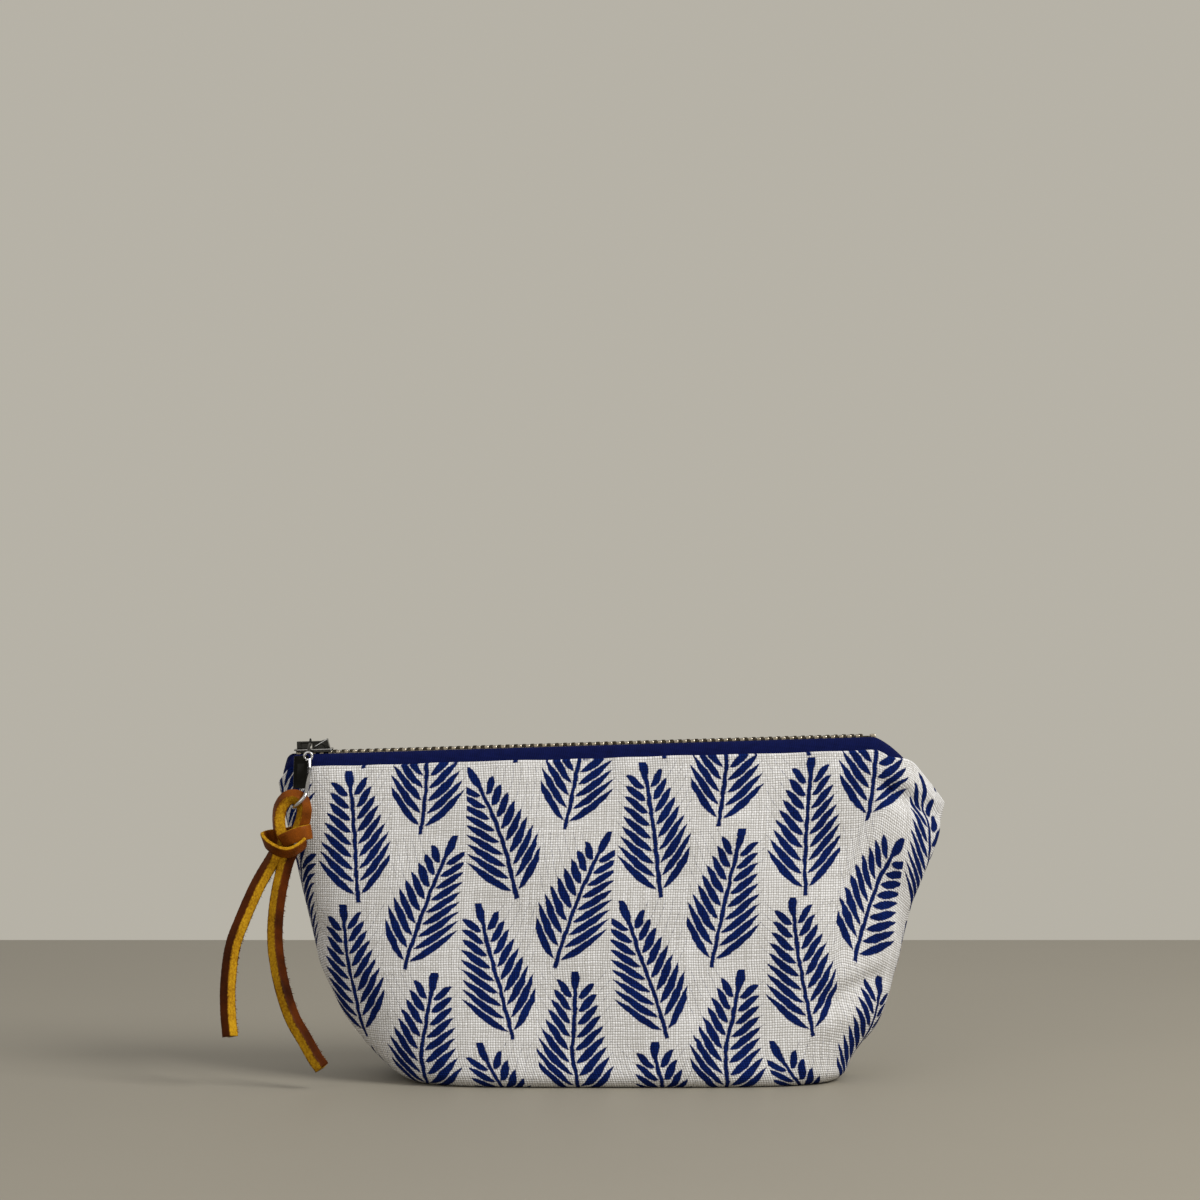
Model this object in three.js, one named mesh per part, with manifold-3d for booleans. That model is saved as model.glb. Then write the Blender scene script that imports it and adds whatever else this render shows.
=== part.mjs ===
// Boxed-corner pouch of printed linen, closed by a metal zip along its ridge,
// with a knotted leather lace on the zip's wire pull.
// Millimetres, +Z up. The origin is the centre of the base, on the floor.
// +X runs along the zip, and the front faces -Y.
import * as THREE from 'three';
import { mergeVertices } from 'three/addons/utils/BufferGeometryUtils.js';
import Module from 'manifold-3d';

// Pouch form
const RIDGE_HALF = 101;
const RIDGE_HEIGHT = 100.8;
const RIDGE_SLOPE = 0.03;
const RIDGE_HALF_DEPTH = 7;
const BASE_HALF_LENGTH = 65.5;
const BASE_HALF_DEPTH = 32.5;
const BASE_EDGE_RADIUS = 5;
const FACE_CURVE = 0.9;
const DROOP_RIGHT = 21;
const DROOP_RIGHT_RUN = 21;
const DROOP_RIGHT_CURVE = 1.45;
const DROOP_LEFT = 4.5;
const DROOP_LEFT_RUN = 3.6;
const DROOP_LEFT_CURVE = 1.3;

// Outline of the ends, from the base up: share of the ridge's height, and share of the way from the
// base's half length to the ridge's
const LEFT_OUTLINE = [[0, -0.05], [0.02, -0.02], [0.09, 0.18], [0.21, 0.44], [0.37, 0.655], [0.6, 0.8],
  [0.8, 0.915], [0.96, 0.99], [1, 1]];
const RIGHT_OUTLINE = [[0, 0.13], [0.075, 0.2], [0.13, 0.31], [0.2, 0.445], [0.31, 0.52], [0.43, 0.605],
  [0.64, 0.73], [0.75, 0.82], [0.86, 0.92], [0.965, 0.99], [1, 1]];

// Corner softness of the level sections, as the power of a superellipse
const BASE_SQUARENESS = 4;
const RIDGE_SQUARENESS = 16;
const SQUARENESS_CURVE = 8;

// Right corner, where the front and back close past the end of the zip
const PINCH_START = 17;
const PINCH_END = 5;
const PINCH_SHARE = 0.8;
const PINCH_CURVE = 10;

// Cloth
const OUTER_THICKNESS = 1;
const LINING_THICKNESS = 0.65;
const TAPE_THICKNESS = 0.65;
const CLEARANCE = 0.3;
const SEAM_GAP = 0.3;
const FOLD_TO_LINING = 5;
const LINING_STEP_RUN = 8;
const CLOSED_LIP = 0.4;

// Zip
const TAPE_SHOWN = 4.8;
const TAPE_HIDDEN = 8;
const TAPE_BEND = 3;
const TAPE_RIGHT_MARGIN = 11;
const TAPE_TRIM_RUN = 5;
const TAPE_CLOSING_RUN = 1.5;
const TOOTH_PITCH = 2.5;
const TOOTH_WIDTH = 0.95;
const TOOTH_HEIGHT = 2;
const TOOTH_REACH = 0.9;
const BEAD_INNER = 1.6;
const BEAD_OUTER = 2.4;
const STOP_LENGTH = 1.5;

// Slider and pull
const SLIDER_MARGIN = 10.3;
const SLIDER_LENGTH = 11.5;
const HEAD_HALF_WIDTH = 4.2;
const TAIL_HALF_WIDTH = 3.9;
const PLATE_THICKNESS = 0.5;
const LIP_WIDTH = 0.6;
const LIP_GAP = 1.25;
const WEDGE_LENGTH = 5;
const WEDGE_HALF_WIDTH = 1;
const CROWN_WIDTH = 1;
const CROWN_BAR = 0.7;
const CROWN_ARCH = 1.25;
const CROWN_LEG = 1.4;
const CAM_RISE = 0.6;
const EYE_X = -0.9;
const EYE_RADIUS = 1.2;
const EYE_WIRE_RADIUS = 0.4;
const STEM_RADIUS = 0.75;
const WIRE_RADIUS = 0.5;
const STEM_DROP = 8.4;
const LEG_SHIFT = 0.5;
const TAB_WIDTH = 4.8;
const TAB_RISE = 2.6;
const TAB_LENGTH = 7.2;
const TAB_THICKNESS = 0.9;
const RUNG_DROP = 18.4;
const RUNG_SHIFT = 3.9;

// Leather lace
const LACE_SIDE = 3.4;
const LACE_LEAN = 0.22;
const BAND_THICKNESS = 1.8;
const BAND_HEIGHT = 7;
const BAND_WIDTH = 11.2;
const BAND_X = -1.6;
const BAND_Z = -13.7;
const BAND_TILT = 0.12;

// Mesh fineness: shares of the way from a face's middle to its edge, and from there to the seam
const FACE_STATIONS = [0, 0.16, 0.32, 0.48, 0.62, 0.74, 0.81, 0.85, 0.89, 0.93, 0.97, 1];
const SIDE_STATIONS = [0.25, 0.5, 0.75, 0.9, 1];
const BASE_RINGS = 3;
const EDGE_ROWS = 3;
const WALL_ROWS = 10;
const TOP_ROWS = 2;
const TAPE_COLUMNS = 30;
const NOSE_STATIONS = [1.9, 1.75, 1.55, 1.35, 1.2, 1.1, 1];

const wasm = await Module();
wasm.setup();

// Small helpers

const clampShare = (share) => Math.min(1, Math.max(0, share));

function ease(from, to, value) {
  const share = clampShare((value - from) / (to - from));
  return share * share * (3 - 2 * share);
}

const mix = (from, to, share) => from + (to - from) * share;

function asSolid(geometry) {
  const bare = geometry.index ? geometry.toNonIndexed() : geometry.clone();
  bare.deleteAttribute('normal');
  bare.deleteAttribute('uv');
  const merged = mergeVertices(bare, 1e-4);
  return new wasm.Manifold(new wasm.Mesh({
    numProp: 3,
    vertProperties: new Float32Array(merged.attributes.position.array),
    triVerts: new Uint32Array(merged.index.array),
  }));
}

function join(geometries) {
  const mesh = geometries.map(asSolid).reduce((whole, piece) => whole.add(piece)).getMesh();
  const geometry = new THREE.BufferGeometry();
  geometry.setAttribute('position', new THREE.BufferAttribute(mesh.vertProperties, 3));
  geometry.setIndex(new THREE.BufferAttribute(mesh.triVerts, 1));
  return geometry;
}

function box(low, high) {
  const size = high.map((value, axis) => value - low[axis]);
  const geometry = new THREE.BoxGeometry(...size);
  return geometry.translate(...low.map((value, axis) => value + size[axis] / 2));
}

function extrudeUp(points, bottom, height) {
  const shape = new THREE.Shape(points.map(([x, y]) => new THREE.Vector2(x, y)));
  const geometry = new THREE.ExtrudeGeometry(shape, { depth: height, bevelEnabled: false });
  return geometry.translate(0, 0, bottom);
}

function tube(section, points, steps) {
  const path = new THREE.CatmullRomCurve3(points.map((point) => new THREE.Vector3(...point)));
  return new THREE.ExtrudeGeometry(section, { steps, extrudePath: path, bevelEnabled: false });
}

function roundSection(radius, sides) {
  const corners = [];
  for (let side = 0; side < sides; side += 1) {
    const turn = (2 * Math.PI * side) / sides;
    corners.push(new THREE.Vector2(radius * Math.cos(turn), radius * Math.sin(turn)));
  }
  return new THREE.Shape(corners);
}

// Pouch surface

function ridgeHeight(x) {
  const right = clampShare((x - RIDGE_HALF + DROOP_RIGHT_RUN) / DROOP_RIGHT_RUN);
  const left = clampShare((-x - RIDGE_HALF + DROOP_LEFT_RUN) / DROOP_LEFT_RUN);
  const droop = DROOP_RIGHT * right ** DROOP_RIGHT_CURVE + DROOP_LEFT * left ** DROOP_LEFT_CURVE;
  return RIDGE_HEIGHT + RIDGE_SLOPE * x - droop;
}

function halfLength(rise, end) {
  const outline = end < 0 ? LEFT_OUTLINE : RIGHT_OUTLINE;
  const up = clampShare(rise / RIDGE_HEIGHT);
  const next = Math.max(1, outline.findIndex(([height]) => height >= up));
  const [low, from] = outline[next - 1];
  const [high, to] = outline[next];
  return mix(BASE_HALF_LENGTH, RIDGE_HALF, mix(from, to, (up - low) / (high - low)));
}

function halfDepth(rise, share) {
  const up = clampShare(rise / RIDGE_HEIGHT);
  const depth = mix(RIDGE_HALF_DEPTH, BASE_HALF_DEPTH, (1 - up) ** FACE_CURVE);
  const closing = ease(1 - PINCH_START / RIDGE_HALF, 1 - PINCH_END / RIDGE_HALF, share);
  return depth * (1 - PINCH_SHARE * closing * up ** PINCH_CURVE);
}

function squareness(rise) {
  return mix(BASE_SQUARENESS, RIDGE_SQUARENESS, clampShare(rise / RIDGE_HEIGHT) ** SQUARENESS_CURVE);
}

// Shares of the half length and half depth on the level section, for a place from -2 at the left
// side seam, through -1 and 1 at the face's edges, to 2 at the right side seam.
function sectionShares(along, rise) {
  const across = Math.max(-1, Math.min(1, along));
  const out = Math.min(1, 2 - Math.abs(along));
  const power = squareness(rise);
  const reach = (Math.abs(across) ** power + out ** power) ** (-1 / power);
  return [across * reach, out * reach];
}

function depthShare(lengthShare, rise) {
  const power = squareness(rise);
  return (1 - Math.abs(lengthShare) ** power) ** (1 / power);
}

// A point of the wall from its shares, where rise is the height before the ridge's droop and
// inset is the depth below the outer face.
function wallPoint(side, lengthShare, widthShare, rise, inset, spread = 1) {
  const length = halfLength(rise, lengthShare) - inset;
  const depth = halfDepth(rise, lengthShare) - inset;
  const droop = ridgeHeight(lengthShare * RIDGE_HALF) / RIDGE_HEIGHT;
  const y = SEAM_GAP / 2 + spread * Math.max(0, depth - SEAM_GAP / 2) * widthShare;
  return [spread * length * lengthShare, side * y, rise * droop];
}

// Cloth panels: each covers one face, half of both sides and half of the base

const rightStations = [...FACE_STATIONS, ...SIDE_STATIONS.map((share) => 1 + share)];
const panelStations = [...rightStations.slice(1).reverse().map((along) => -along), ...rightStations];
const lastColumn = panelStations.length - 1;

// Both layers of cloth share their rows up to the lining's top edge.
function panelLayer(side, insetAt, topRows) {
  const floorInset = insetAt(0);
  const radius = BASE_EDGE_RADIUS - floorInset;
  const rows = [panelStations.map(() => [0, (side * SEAM_GAP) / 2, floorInset])];
  const addRow = (pointAt) => rows.push(panelStations.map(pointAt));
  for (let ring = 1; ring <= BASE_RINGS; ring += 1) {
    const spread = ring / BASE_RINGS;
    addRow((along) => {
      const shares = sectionShares(along, 0);
      const point = wallPoint(side, ...shares, 0, BASE_EDGE_RADIUS, spread);
      return [point[0], point[1], floorInset];
    });
  }
  for (let step = 1; step <= EDGE_ROWS; step += 1) {
    const turn = ((Math.PI / 2) * step) / EDGE_ROWS;
    const rise = BASE_EDGE_RADIUS - radius * Math.cos(turn);
    const inset = floorInset + radius * (1 - Math.sin(turn));
    addRow((along) => wallPoint(side, ...sectionShares(along, rise), rise, inset));
  }
  for (let step = 1; step <= WALL_ROWS; step += 1) {
    const rise = mix(BASE_EDGE_RADIUS, liningRise, step / WALL_ROWS);
    addRow((along) => wallPoint(side, ...sectionShares(along, rise), rise, insetAt(rise)));
  }
  for (let step = 1; step <= topRows; step += 1) {
    addRow((along) => {
      const [lengthShare] = sectionShares(along, RIDGE_HEIGHT);
      const rise = mix(liningRise, outerTop(lengthShare), step / topRows);
      return wallPoint(side, ...sectionShares(along, rise), rise, insetAt(rise));
    });
  }
  return rows;
}

function closedSheet(side, outer, inner) {
  const positions = [];
  const face = (...corners) => {
    const turned = side < 0 ? corners : corners.reverse();
    for (let corner = 1; corner < turned.length - 1; corner += 1) {
      positions.push(...turned[0], ...turned[corner], ...turned[corner + 1]);
    }
  };
  const last = outer.length - 1;
  for (let row = 0; row < last; row += 1) {
    for (let column = 0; column < lastColumn; column += 1) {
      const next = column + 1;
      if (row === 0) {
        face(outer[0][0], outer[1][next], outer[1][column]);
        face(inner[0][0], inner[1][column], inner[1][next]);
      } else {
        face(outer[row][column], outer[row][next], outer[row + 1][next], outer[row + 1][column]);
        face(inner[row][column], inner[row + 1][column], inner[row + 1][next], inner[row][next]);
      }
    }
    face(outer[row][0], outer[row + 1][0], inner[row + 1][0], inner[row][0]);
    const end = lastColumn;
    face(outer[row + 1][end], outer[row][end], inner[row][end], inner[row + 1][end]);
  }
  for (let column = 0; column < lastColumn; column += 1) {
    const next = column + 1;
    face(outer[last][column], outer[last][next], inner[last][next], inner[last][column]);
  }
  const geometry = new THREE.BufferGeometry();
  geometry.setAttribute('position', new THREE.Float32BufferAttribute(positions, 3));
  return geometry;
}

const foldRise = RIDGE_HEIGHT - TAPE_SHOWN;
const liningRise = foldRise - FOLD_TO_LINING;
const tapeInset = OUTER_THICKNESS + CLEARANCE;
const liningTopInset = tapeInset + TAPE_THICKNESS + CLEARANCE;
const closedRise = RIDGE_HEIGHT - CLOSED_LIP;
const tapeRightEnd = RIDGE_HALF - TAPE_RIGHT_MARGIN;
const sliderX = SLIDER_MARGIN - RIDGE_HALF;

// The folded top edge stays below the ridge along the zip and closes over it at the right corner.
function outerTop(lengthShare) {
  const closedAt = (tapeRightEnd + TAPE_CLOSING_RUN) / RIDGE_HALF;
  return mix(foldRise, closedRise, ease(1 - PINCH_START / RIDGE_HALF, closedAt, lengthShare));
}

function liningInset(rise) {
  const tapeFoot = foldRise - TAPE_HIDDEN - CLEARANCE;
  return mix(tapeInset, liningTopInset, ease(tapeFoot - LINING_STEP_RUN, tapeFoot, rise));
}

function outerPanel(side) {
  const outer = panelLayer(side, () => 0, TOP_ROWS);
  const inner = panelLayer(side, () => OUTER_THICKNESS, TOP_ROWS);
  return closedSheet(side, outer, inner);
}

function liningPanel(side) {
  const outer = panelLayer(side, liningInset, 0);
  const inner = panelLayer(side, (rise) => liningInset(rise) + LINING_THICKNESS, 0);
  return closedSheet(side, outer, inner);
}

// Zip tape: a strip under the folded edge that turns level at the ridge towards the teeth

const tapeTop = (TOOTH_HEIGHT - TAPE_THICKNESS) / 2;
const tapeEdge = BEAD_OUTER + CLEARANCE;
const chainLeft = -(RIDGE_HALF - DROOP_LEFT_RUN);
const chainRight = RIDGE_HALF - DROOP_RIGHT_RUN;

// A place along the tape is a place on the level section at the ridge, so the tape rounds the left end.
function tapeSection(side, along) {
  const [share] = sectionShares(along, RIDGE_HEIGHT);
  const x = share * RIDGE_HALF;
  const trim = Math.max(
    ease(chainRight - TAPE_TRIM_RUN, chainRight, x),
    ease(-chainLeft - 2 * TAPE_TRIM_RUN, -chainLeft - TAPE_TRIM_RUN, -x),
  );
  const low = foldRise - mix(TAPE_HIDDEN, -CLEARANCE, trim);
  const bend = RIDGE_HEIGHT - TAPE_BEND;
  const above = tapeInset + CLEARANCE * trim;
  const below = above + TAPE_THICKNESS;
  const wallAt = (place, rise, inset) => wallPoint(side, ...sectionShares(place, rise), rise, inset);
  const wall = (rise, inset) => wallAt(along, rise, inset);
  const noseEnd = below + CLEARANCE - RIDGE_HALF;
  const nose = Math.max(0, -along - 1);
  const edgeX = mix(wallAt(Math.max(-1, along), RIDGE_HEIGHT, above)[0], noseEnd, nose);
  const closing = Math.max(
    ease(chainRight, chainRight + TAPE_CLOSING_RUN, edgeX),
    ease(-chainLeft, -chainLeft + TAPE_CLOSING_RUN, -edgeX),
  );
  const inner = side * mix(tapeEdge, SEAM_GAP / 2, closing);
  const top = ridgeHeight(x) - tapeTop;
  const edgeTop = ridgeHeight(nose > 0 ? edgeX : x) - tapeTop;
  const level = (inset, drop) => {
    const corner = wall(RIDGE_HEIGHT, inset);
    return [corner[0], corner[1], top - drop];
  };
  return [
    wall(low, above),
    wall(bend, above),
    level(above, 0),
    [edgeX, inner, edgeTop],
    [edgeX, inner, edgeTop - TAPE_THICKNESS],
    level(below, TAPE_THICKNESS),
    wall(bend, below),
    wall(low, below),
  ];
}

function alongAt(x) {
  const share = x / RIDGE_HALF;
  return share / depthShare(share, RIDGE_HEIGHT);
}

function zipTape(side) {
  const stations = NOSE_STATIONS.map((place) => -place);
  for (let column = 1; column <= TAPE_COLUMNS; column += 1) {
    stations.push(alongAt(mix(chainLeft, chainRight, column / TAPE_COLUMNS)));
  }
  const closed = [chainRight + TAPE_CLOSING_RUN, mix(chainRight, tapeRightEnd, 0.6), tapeRightEnd];
  stations.push(...closed.map(alongAt));
  const sections = stations.map((along) => tapeSection(side, along));
  const positions = [];
  const face = (...corners) => {
    const turned = side < 0 ? corners : corners.reverse();
    for (let corner = 1; corner < turned.length - 1; corner += 1) {
      positions.push(...turned[0], ...turned[corner], ...turned[corner + 1]);
    }
  };
  const corners = sections[0].length;
  for (let station = 0; station < sections.length - 1; station += 1) {
    const here = sections[station];
    const next = sections[station + 1];
    for (let corner = 0; corner < corners; corner += 1) {
      const after = (corner + 1) % corners;
      face(here[corner], next[corner], next[after], here[after]);
    }
  }
  const half = corners / 2;
  for (let corner = 0; corner < half - 1; corner += 1) {
    const opposite = corners - 1 - corner;
    const first = sections[0];
    const final = sections[sections.length - 1];
    face(first[corner], first[corner + 1], first[opposite - 1], first[opposite]);
    face(final[corner], final[opposite], final[opposite - 1], final[corner + 1]);
  }
  const geometry = new THREE.BufferGeometry();
  geometry.setAttribute('position', new THREE.Float32BufferAttribute(positions, 3));
  return geometry;
}

// Zip chain, in the zip's own frame: X along the teeth, Z = 0 at their tops

const sliderLeft = sliderX - SLIDER_LENGTH / 2;
const sliderRight = sliderX + SLIDER_LENGTH / 2;
const wedgeRight = sliderLeft + WEDGE_LENGTH;
const bottomStopLeft = chainRight - STOP_LENGTH;
const teethLeft = wedgeRight + CLEARANCE;
const teethRight = bottomStopLeft - CLEARANCE;

function teethRow(side) {
  const offset = side < 0 ? TOOTH_PITCH / 4 : (TOOTH_PITCH * 3) / 4;
  const count = Math.floor((teethRight - teethLeft) / TOOTH_PITCH);
  const points = [
    [teethLeft, side * BEAD_OUTER],
    [teethRight, side * BEAD_OUTER],
    [teethRight, side * BEAD_INNER],
  ];
  for (let tooth = count - 1; tooth >= 0; tooth -= 1) {
    const middle = teethLeft + offset + tooth * TOOTH_PITCH;
    points.push([middle + TOOTH_WIDTH / 2, side * BEAD_INNER]);
    points.push([middle + TOOTH_WIDTH / 2, -side * TOOTH_REACH]);
    points.push([middle - TOOTH_WIDTH / 2, -side * TOOTH_REACH]);
    points.push([middle - TOOTH_WIDTH / 2, side * BEAD_INNER]);
  }
  points.push([teethLeft, side * BEAD_INNER]);
  return extrudeUp(points, -TOOTH_HEIGHT, TOOTH_HEIGHT);
}

function topStop(side) {
  const left = sliderLeft + STOP_LENGTH / 2;
  const inner = side * (WEDGE_HALF_WIDTH + CLEARANCE);
  const outer = side * BEAD_OUTER;
  const low = [left, Math.min(inner, outer), -TOOTH_HEIGHT];
  return box(low, [left + STOP_LENGTH, Math.max(inner, outer), 0]);
}

function bottomStop() {
  return box([bottomStopLeft, -BEAD_OUTER, -TOOTH_HEIGHT], [chainRight, BEAD_OUTER, 0]);
}

// Slider, pull and their places in the zip's frame

const plateBottom = CLEARANCE;
const plateTop = plateBottom + PLATE_THICKNESS;
const lowerPlateTop = -TOOTH_HEIGHT - CLEARANCE;
const lowerPlateBottom = lowerPlateTop - PLATE_THICKNESS;

function plateOutline() {
  const shoulder = sliderX - SLIDER_LENGTH / 8;
  const nose = HEAD_HALF_WIDTH * 0.7;
  const front = [
    [sliderLeft, -nose],
    [sliderLeft + HEAD_HALF_WIDTH - nose, -HEAD_HALF_WIDTH],
    [shoulder, -HEAD_HALF_WIDTH],
    [sliderRight, -TAIL_HALF_WIDTH],
  ];
  return [...front, ...front.map(([x, y]) => [x, -y]).reverse()];
}

function sliderBody() {
  const wedge = [
    [sliderLeft + CLEARANCE, 0],
    [mix(sliderLeft, wedgeRight, 0.4), -WEDGE_HALF_WIDTH],
    [wedgeRight, 0],
    [mix(sliderLeft, wedgeRight, 0.4), WEDGE_HALF_WIDTH],
  ];
  const sink = PLATE_THICKNESS / 2;
  const pieces = [
    extrudeUp(plateOutline(), plateBottom, PLATE_THICKNESS),
    extrudeUp(plateOutline(), lowerPlateBottom, PLATE_THICKNESS),
    extrudeUp(wedge, lowerPlateTop - sink, plateBottom - lowerPlateTop + 2 * sink),
  ];
  const middle = -TOOTH_HEIGHT / 2;
  const lipLeft = sliderX - SLIDER_LENGTH / 3;
  for (const side of [-1, 1]) {
    const edges = [side * TAIL_HALF_WIDTH, side * (TAIL_HALF_WIDTH - LIP_WIDTH)].sort((a, b) => a - b);
    const addLip = (bottom, top) => {
      pieces.push(box([lipLeft, edges[0], bottom], [sliderRight, edges[1], top]));
    };
    addLip(middle + LIP_GAP / 2, plateBottom + sink);
    addLip(lowerPlateTop - sink, middle - LIP_GAP / 2);
  }
  return join(pieces);
}

const crownBottom = plateTop + CLEARANCE;
const barBottom = crownBottom + CROWN_ARCH;
const barTop = barBottom + CROWN_BAR;
const eyeZ = (barBottom + barTop) / 2;
const eyeX = sliderX + EYE_X;

function sliderCrown() {
  const left = sliderLeft + CROWN_LEG / 2;
  const right = sliderRight - CROWN_LEG / 2;
  const outline = [
    [left, crownBottom],
    [left + CROWN_LEG, crownBottom],
    [left + CROWN_LEG, barBottom],
    [right - 2 * CROWN_LEG, barBottom],
    [right - CROWN_LEG, crownBottom],
    [right, crownBottom],
    [right - CROWN_LEG / 2, barTop + CAM_RISE],
    [right - 2 * CROWN_LEG, barTop],
    [left, barTop],
  ];
  const geometry = extrudeUp(outline, -CROWN_WIDTH / 2, CROWN_WIDTH);
  return geometry.rotateX(Math.PI / 2);
}

// The pull's eye rings the crown's bar, its stem steps over the slider's edge, and a flat tab with a
// wire loop below it hangs clear of the front all along the zip.
const clothGap = WIRE_RADIUS + 2 * CLEARANCE;
const legSpread = LACE_SIDE + 2 * WIRE_RADIUS + 2 * CLEARANCE;
const onFace = (x, z, proud) => [x, -halfDepth(RIDGE_HEIGHT + z, 0) - proud, z];
const legX = eyeX + LEG_SHIFT;
const rungX = eyeX - RUNG_SHIFT;
const rungZ = eyeZ - RUNG_DROP;
const bandHalfDepth = LACE_SIDE / 2 + CLEARANCE + BAND_THICKNESS;
const laceY = -halfDepth(RIDGE_HEIGHT + rungZ + BAND_Z, 0) - 2 * CLEARANCE - bandHalfDepth;
const rungBack = laceY + legSpread / 2;

function pullWire() {
  const stemZ = eyeZ - STEM_DROP;
  const stemFoot = onFace(legX, stemZ, clothGap + STEM_RADIUS);
  const edgeY = -HEAD_HALF_WIDTH - STEM_RADIUS - CLEARANCE;
  const stem = [
    [eyeX, -EYE_RADIUS, eyeZ - EYE_WIRE_RADIUS],
    [eyeX, edgeY / 2, plateTop + STEM_RADIUS + 2 * CLEARANCE],
    [eyeX, edgeY, plateTop + STEM_RADIUS],
    onFace(mix(eyeX, legX, 0.5), eyeZ - STEM_DROP / 2, clothGap + STEM_RADIUS),
    stemFoot,
  ];
  const rungFront = rungBack - legSpread;
  const loop = [
    [stemFoot[0], stemFoot[1], stemZ + STEM_RADIUS],
    [legX, mix(stemFoot[1], rungFront, 0.6), mix(stemZ, rungZ, 0.25)],
    [mix(legX, rungX, 0.15), rungFront, mix(stemZ, rungZ, 0.65)],
    [mix(legX, rungX, 0.75), rungFront, rungZ + 1.5 * WIRE_RADIUS],
    [rungX, mix(rungFront, rungBack, 0.5), rungZ],
    [mix(rungX, legX, 0.1), rungBack, mix(stemZ, rungZ, 0.93)],
    [mix(legX, rungX, 0.5), onFace(rungX, mix(stemZ, rungZ, 0.4), clothGap)[1], mix(stemZ, rungZ, 0.4)],
    [stemFoot[0], stemFoot[1], stemZ + STEM_RADIUS / 2],
  ];
  const tabTop = stemZ + TAB_RISE;
  const tab = box([legX - TAB_WIDTH, 0, tabTop - TAB_LENGTH], [legX, TAB_THICKNESS, tabTop]);
  const tabLeftFoot = mix(stemFoot[1], rungBack, 0.8);
  const tabRightFoot = mix(stemFoot[1], rungFront, 0.9);
  const corners = tab.attributes.position;
  for (let corner = 0; corner < corners.count; corner += 1) {
    const low = corners.getZ(corner) < stemZ;
    const foot = corners.getX(corner) < legX ? tabLeftFoot : tabRightFoot;
    corners.setY(corner, corners.getY(corner) + (low ? foot : stemFoot[1]) - TAB_THICKNESS / 2);
  }
  const eye = new THREE.TorusGeometry(EYE_RADIUS, EYE_WIRE_RADIUS, 8, 20);
  return join([
    eye.rotateY(Math.PI / 2).translate(eyeX, 0, eyeZ),
    tube(roundSection(STEM_RADIUS, 8), stem, 12),
    tube(roundSection(WIRE_RADIUS, 6), loop, 28),
    tab,
  ]);
}

// Leather lace: points are chosen by eye from the pull's rung, across and up; the tails lean out
// below the knot, so that they clear the front all along the zip.

const lacePoints = {
  loop: [[-3.9, -10.2], [-4.2, -7.2], [-4.5, -3.6], [-3.9, -0.1], [-2.1, 2.4], [0.3, 3.1], [2.4, 1.9],
    [3.2, -0.8], [2.7, -3.8], [1.6, -6.8], [0.6, -10]],
  tail_left: [[-4.2, -11.2], [-6.7, -15.4], [-11.2, -22.9], [-15.5, -32.1], [-18.7, -40.4], [-20.1, -50.5],
    [-20.2, -58.5], [-19.6, -66.3]],
  tail_right: [[0, -11.2], [-2.4, -15.5], [-4.5, -23], [-5.8, -31.2], [-6.1, -40.4], [-4.5, -50.9],
    [-1.4, -61], [2.3, -67.7], [5.5, -73.4], [7.4, -76]],
};

function laceSection() {
  const half = LACE_SIDE / 2;
  return new THREE.Shape([[-half, -half], [half, -half], [half, half], [-half, half]]
    .map(([x, y]) => new THREE.Vector2(x, y)));
}

function laceRun(name, steps) {
  const leanTop = BAND_Z - BAND_TILT * BAND_WIDTH;
  const points = lacePoints[name].map(([across, up]) => {
    const lean = LACE_LEAN * Math.max(0, leanTop - up);
    return [rungX + across, laceY - lean, rungZ + up];
  });
  return tube(laceSection(), points, steps);
}

function laceBand() {
  const halfWidth = BAND_WIDTH / 2;
  const halfHole = LACE_SIDE / 2 + CLEARANCE;
  const outline = (grow) => {
    const x = halfWidth + grow;
    const y = halfHole + grow;
    return [[-x, -y], [x, -y], [x, y], [-x, y]].map(([px, py]) => new THREE.Vector2(px, py));
  };
  const shape = new THREE.Shape(outline(BAND_THICKNESS));
  shape.holes.push(new THREE.Path(outline(0)));
  const geometry = new THREE.ExtrudeGeometry(shape, { depth: BAND_HEIGHT, bevelEnabled: false });
  geometry.translate(0, 0, -BAND_HEIGHT / 2).rotateY(BAND_TILT);
  return geometry.translate(rungX + BAND_X, laceY, rungZ + BAND_Z + BAND_HEIGHT / 2);
}

// Assembly

const finish = (color, roughness, metalness = 0) =>
  new THREE.MeshStandardMaterial({ color, roughness, metalness });
const linen = finish(0xcfc8bc, 0.9);
const lining = finish(0xd9d4ca, 0.9);
const navyTape = finish(0x151b4b, 0.85);
const brass = finish(0x6b5a3a, 0.35, 0.9);
const gunmetal = finish(0x4a4845, 0.3, 0.95);
const leather = finish(0x8c4614, 0.6);

function add(group, name, geometry, material) {
  const mesh = new THREE.Mesh(geometry, material);
  mesh.name = name;
  group.add(mesh);
}

const pouch = new THREE.Group();
add(pouch, 'outer_front_panel', outerPanel(-1), linen);
add(pouch, 'outer_back_panel', outerPanel(1), linen);
add(pouch, 'lining_front_panel', liningPanel(-1), lining);
add(pouch, 'lining_back_panel', liningPanel(1), lining);
add(pouch, 'zip_tape_front', zipTape(-1), navyTape);
add(pouch, 'zip_tape_back', zipTape(1), navyTape);

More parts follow.
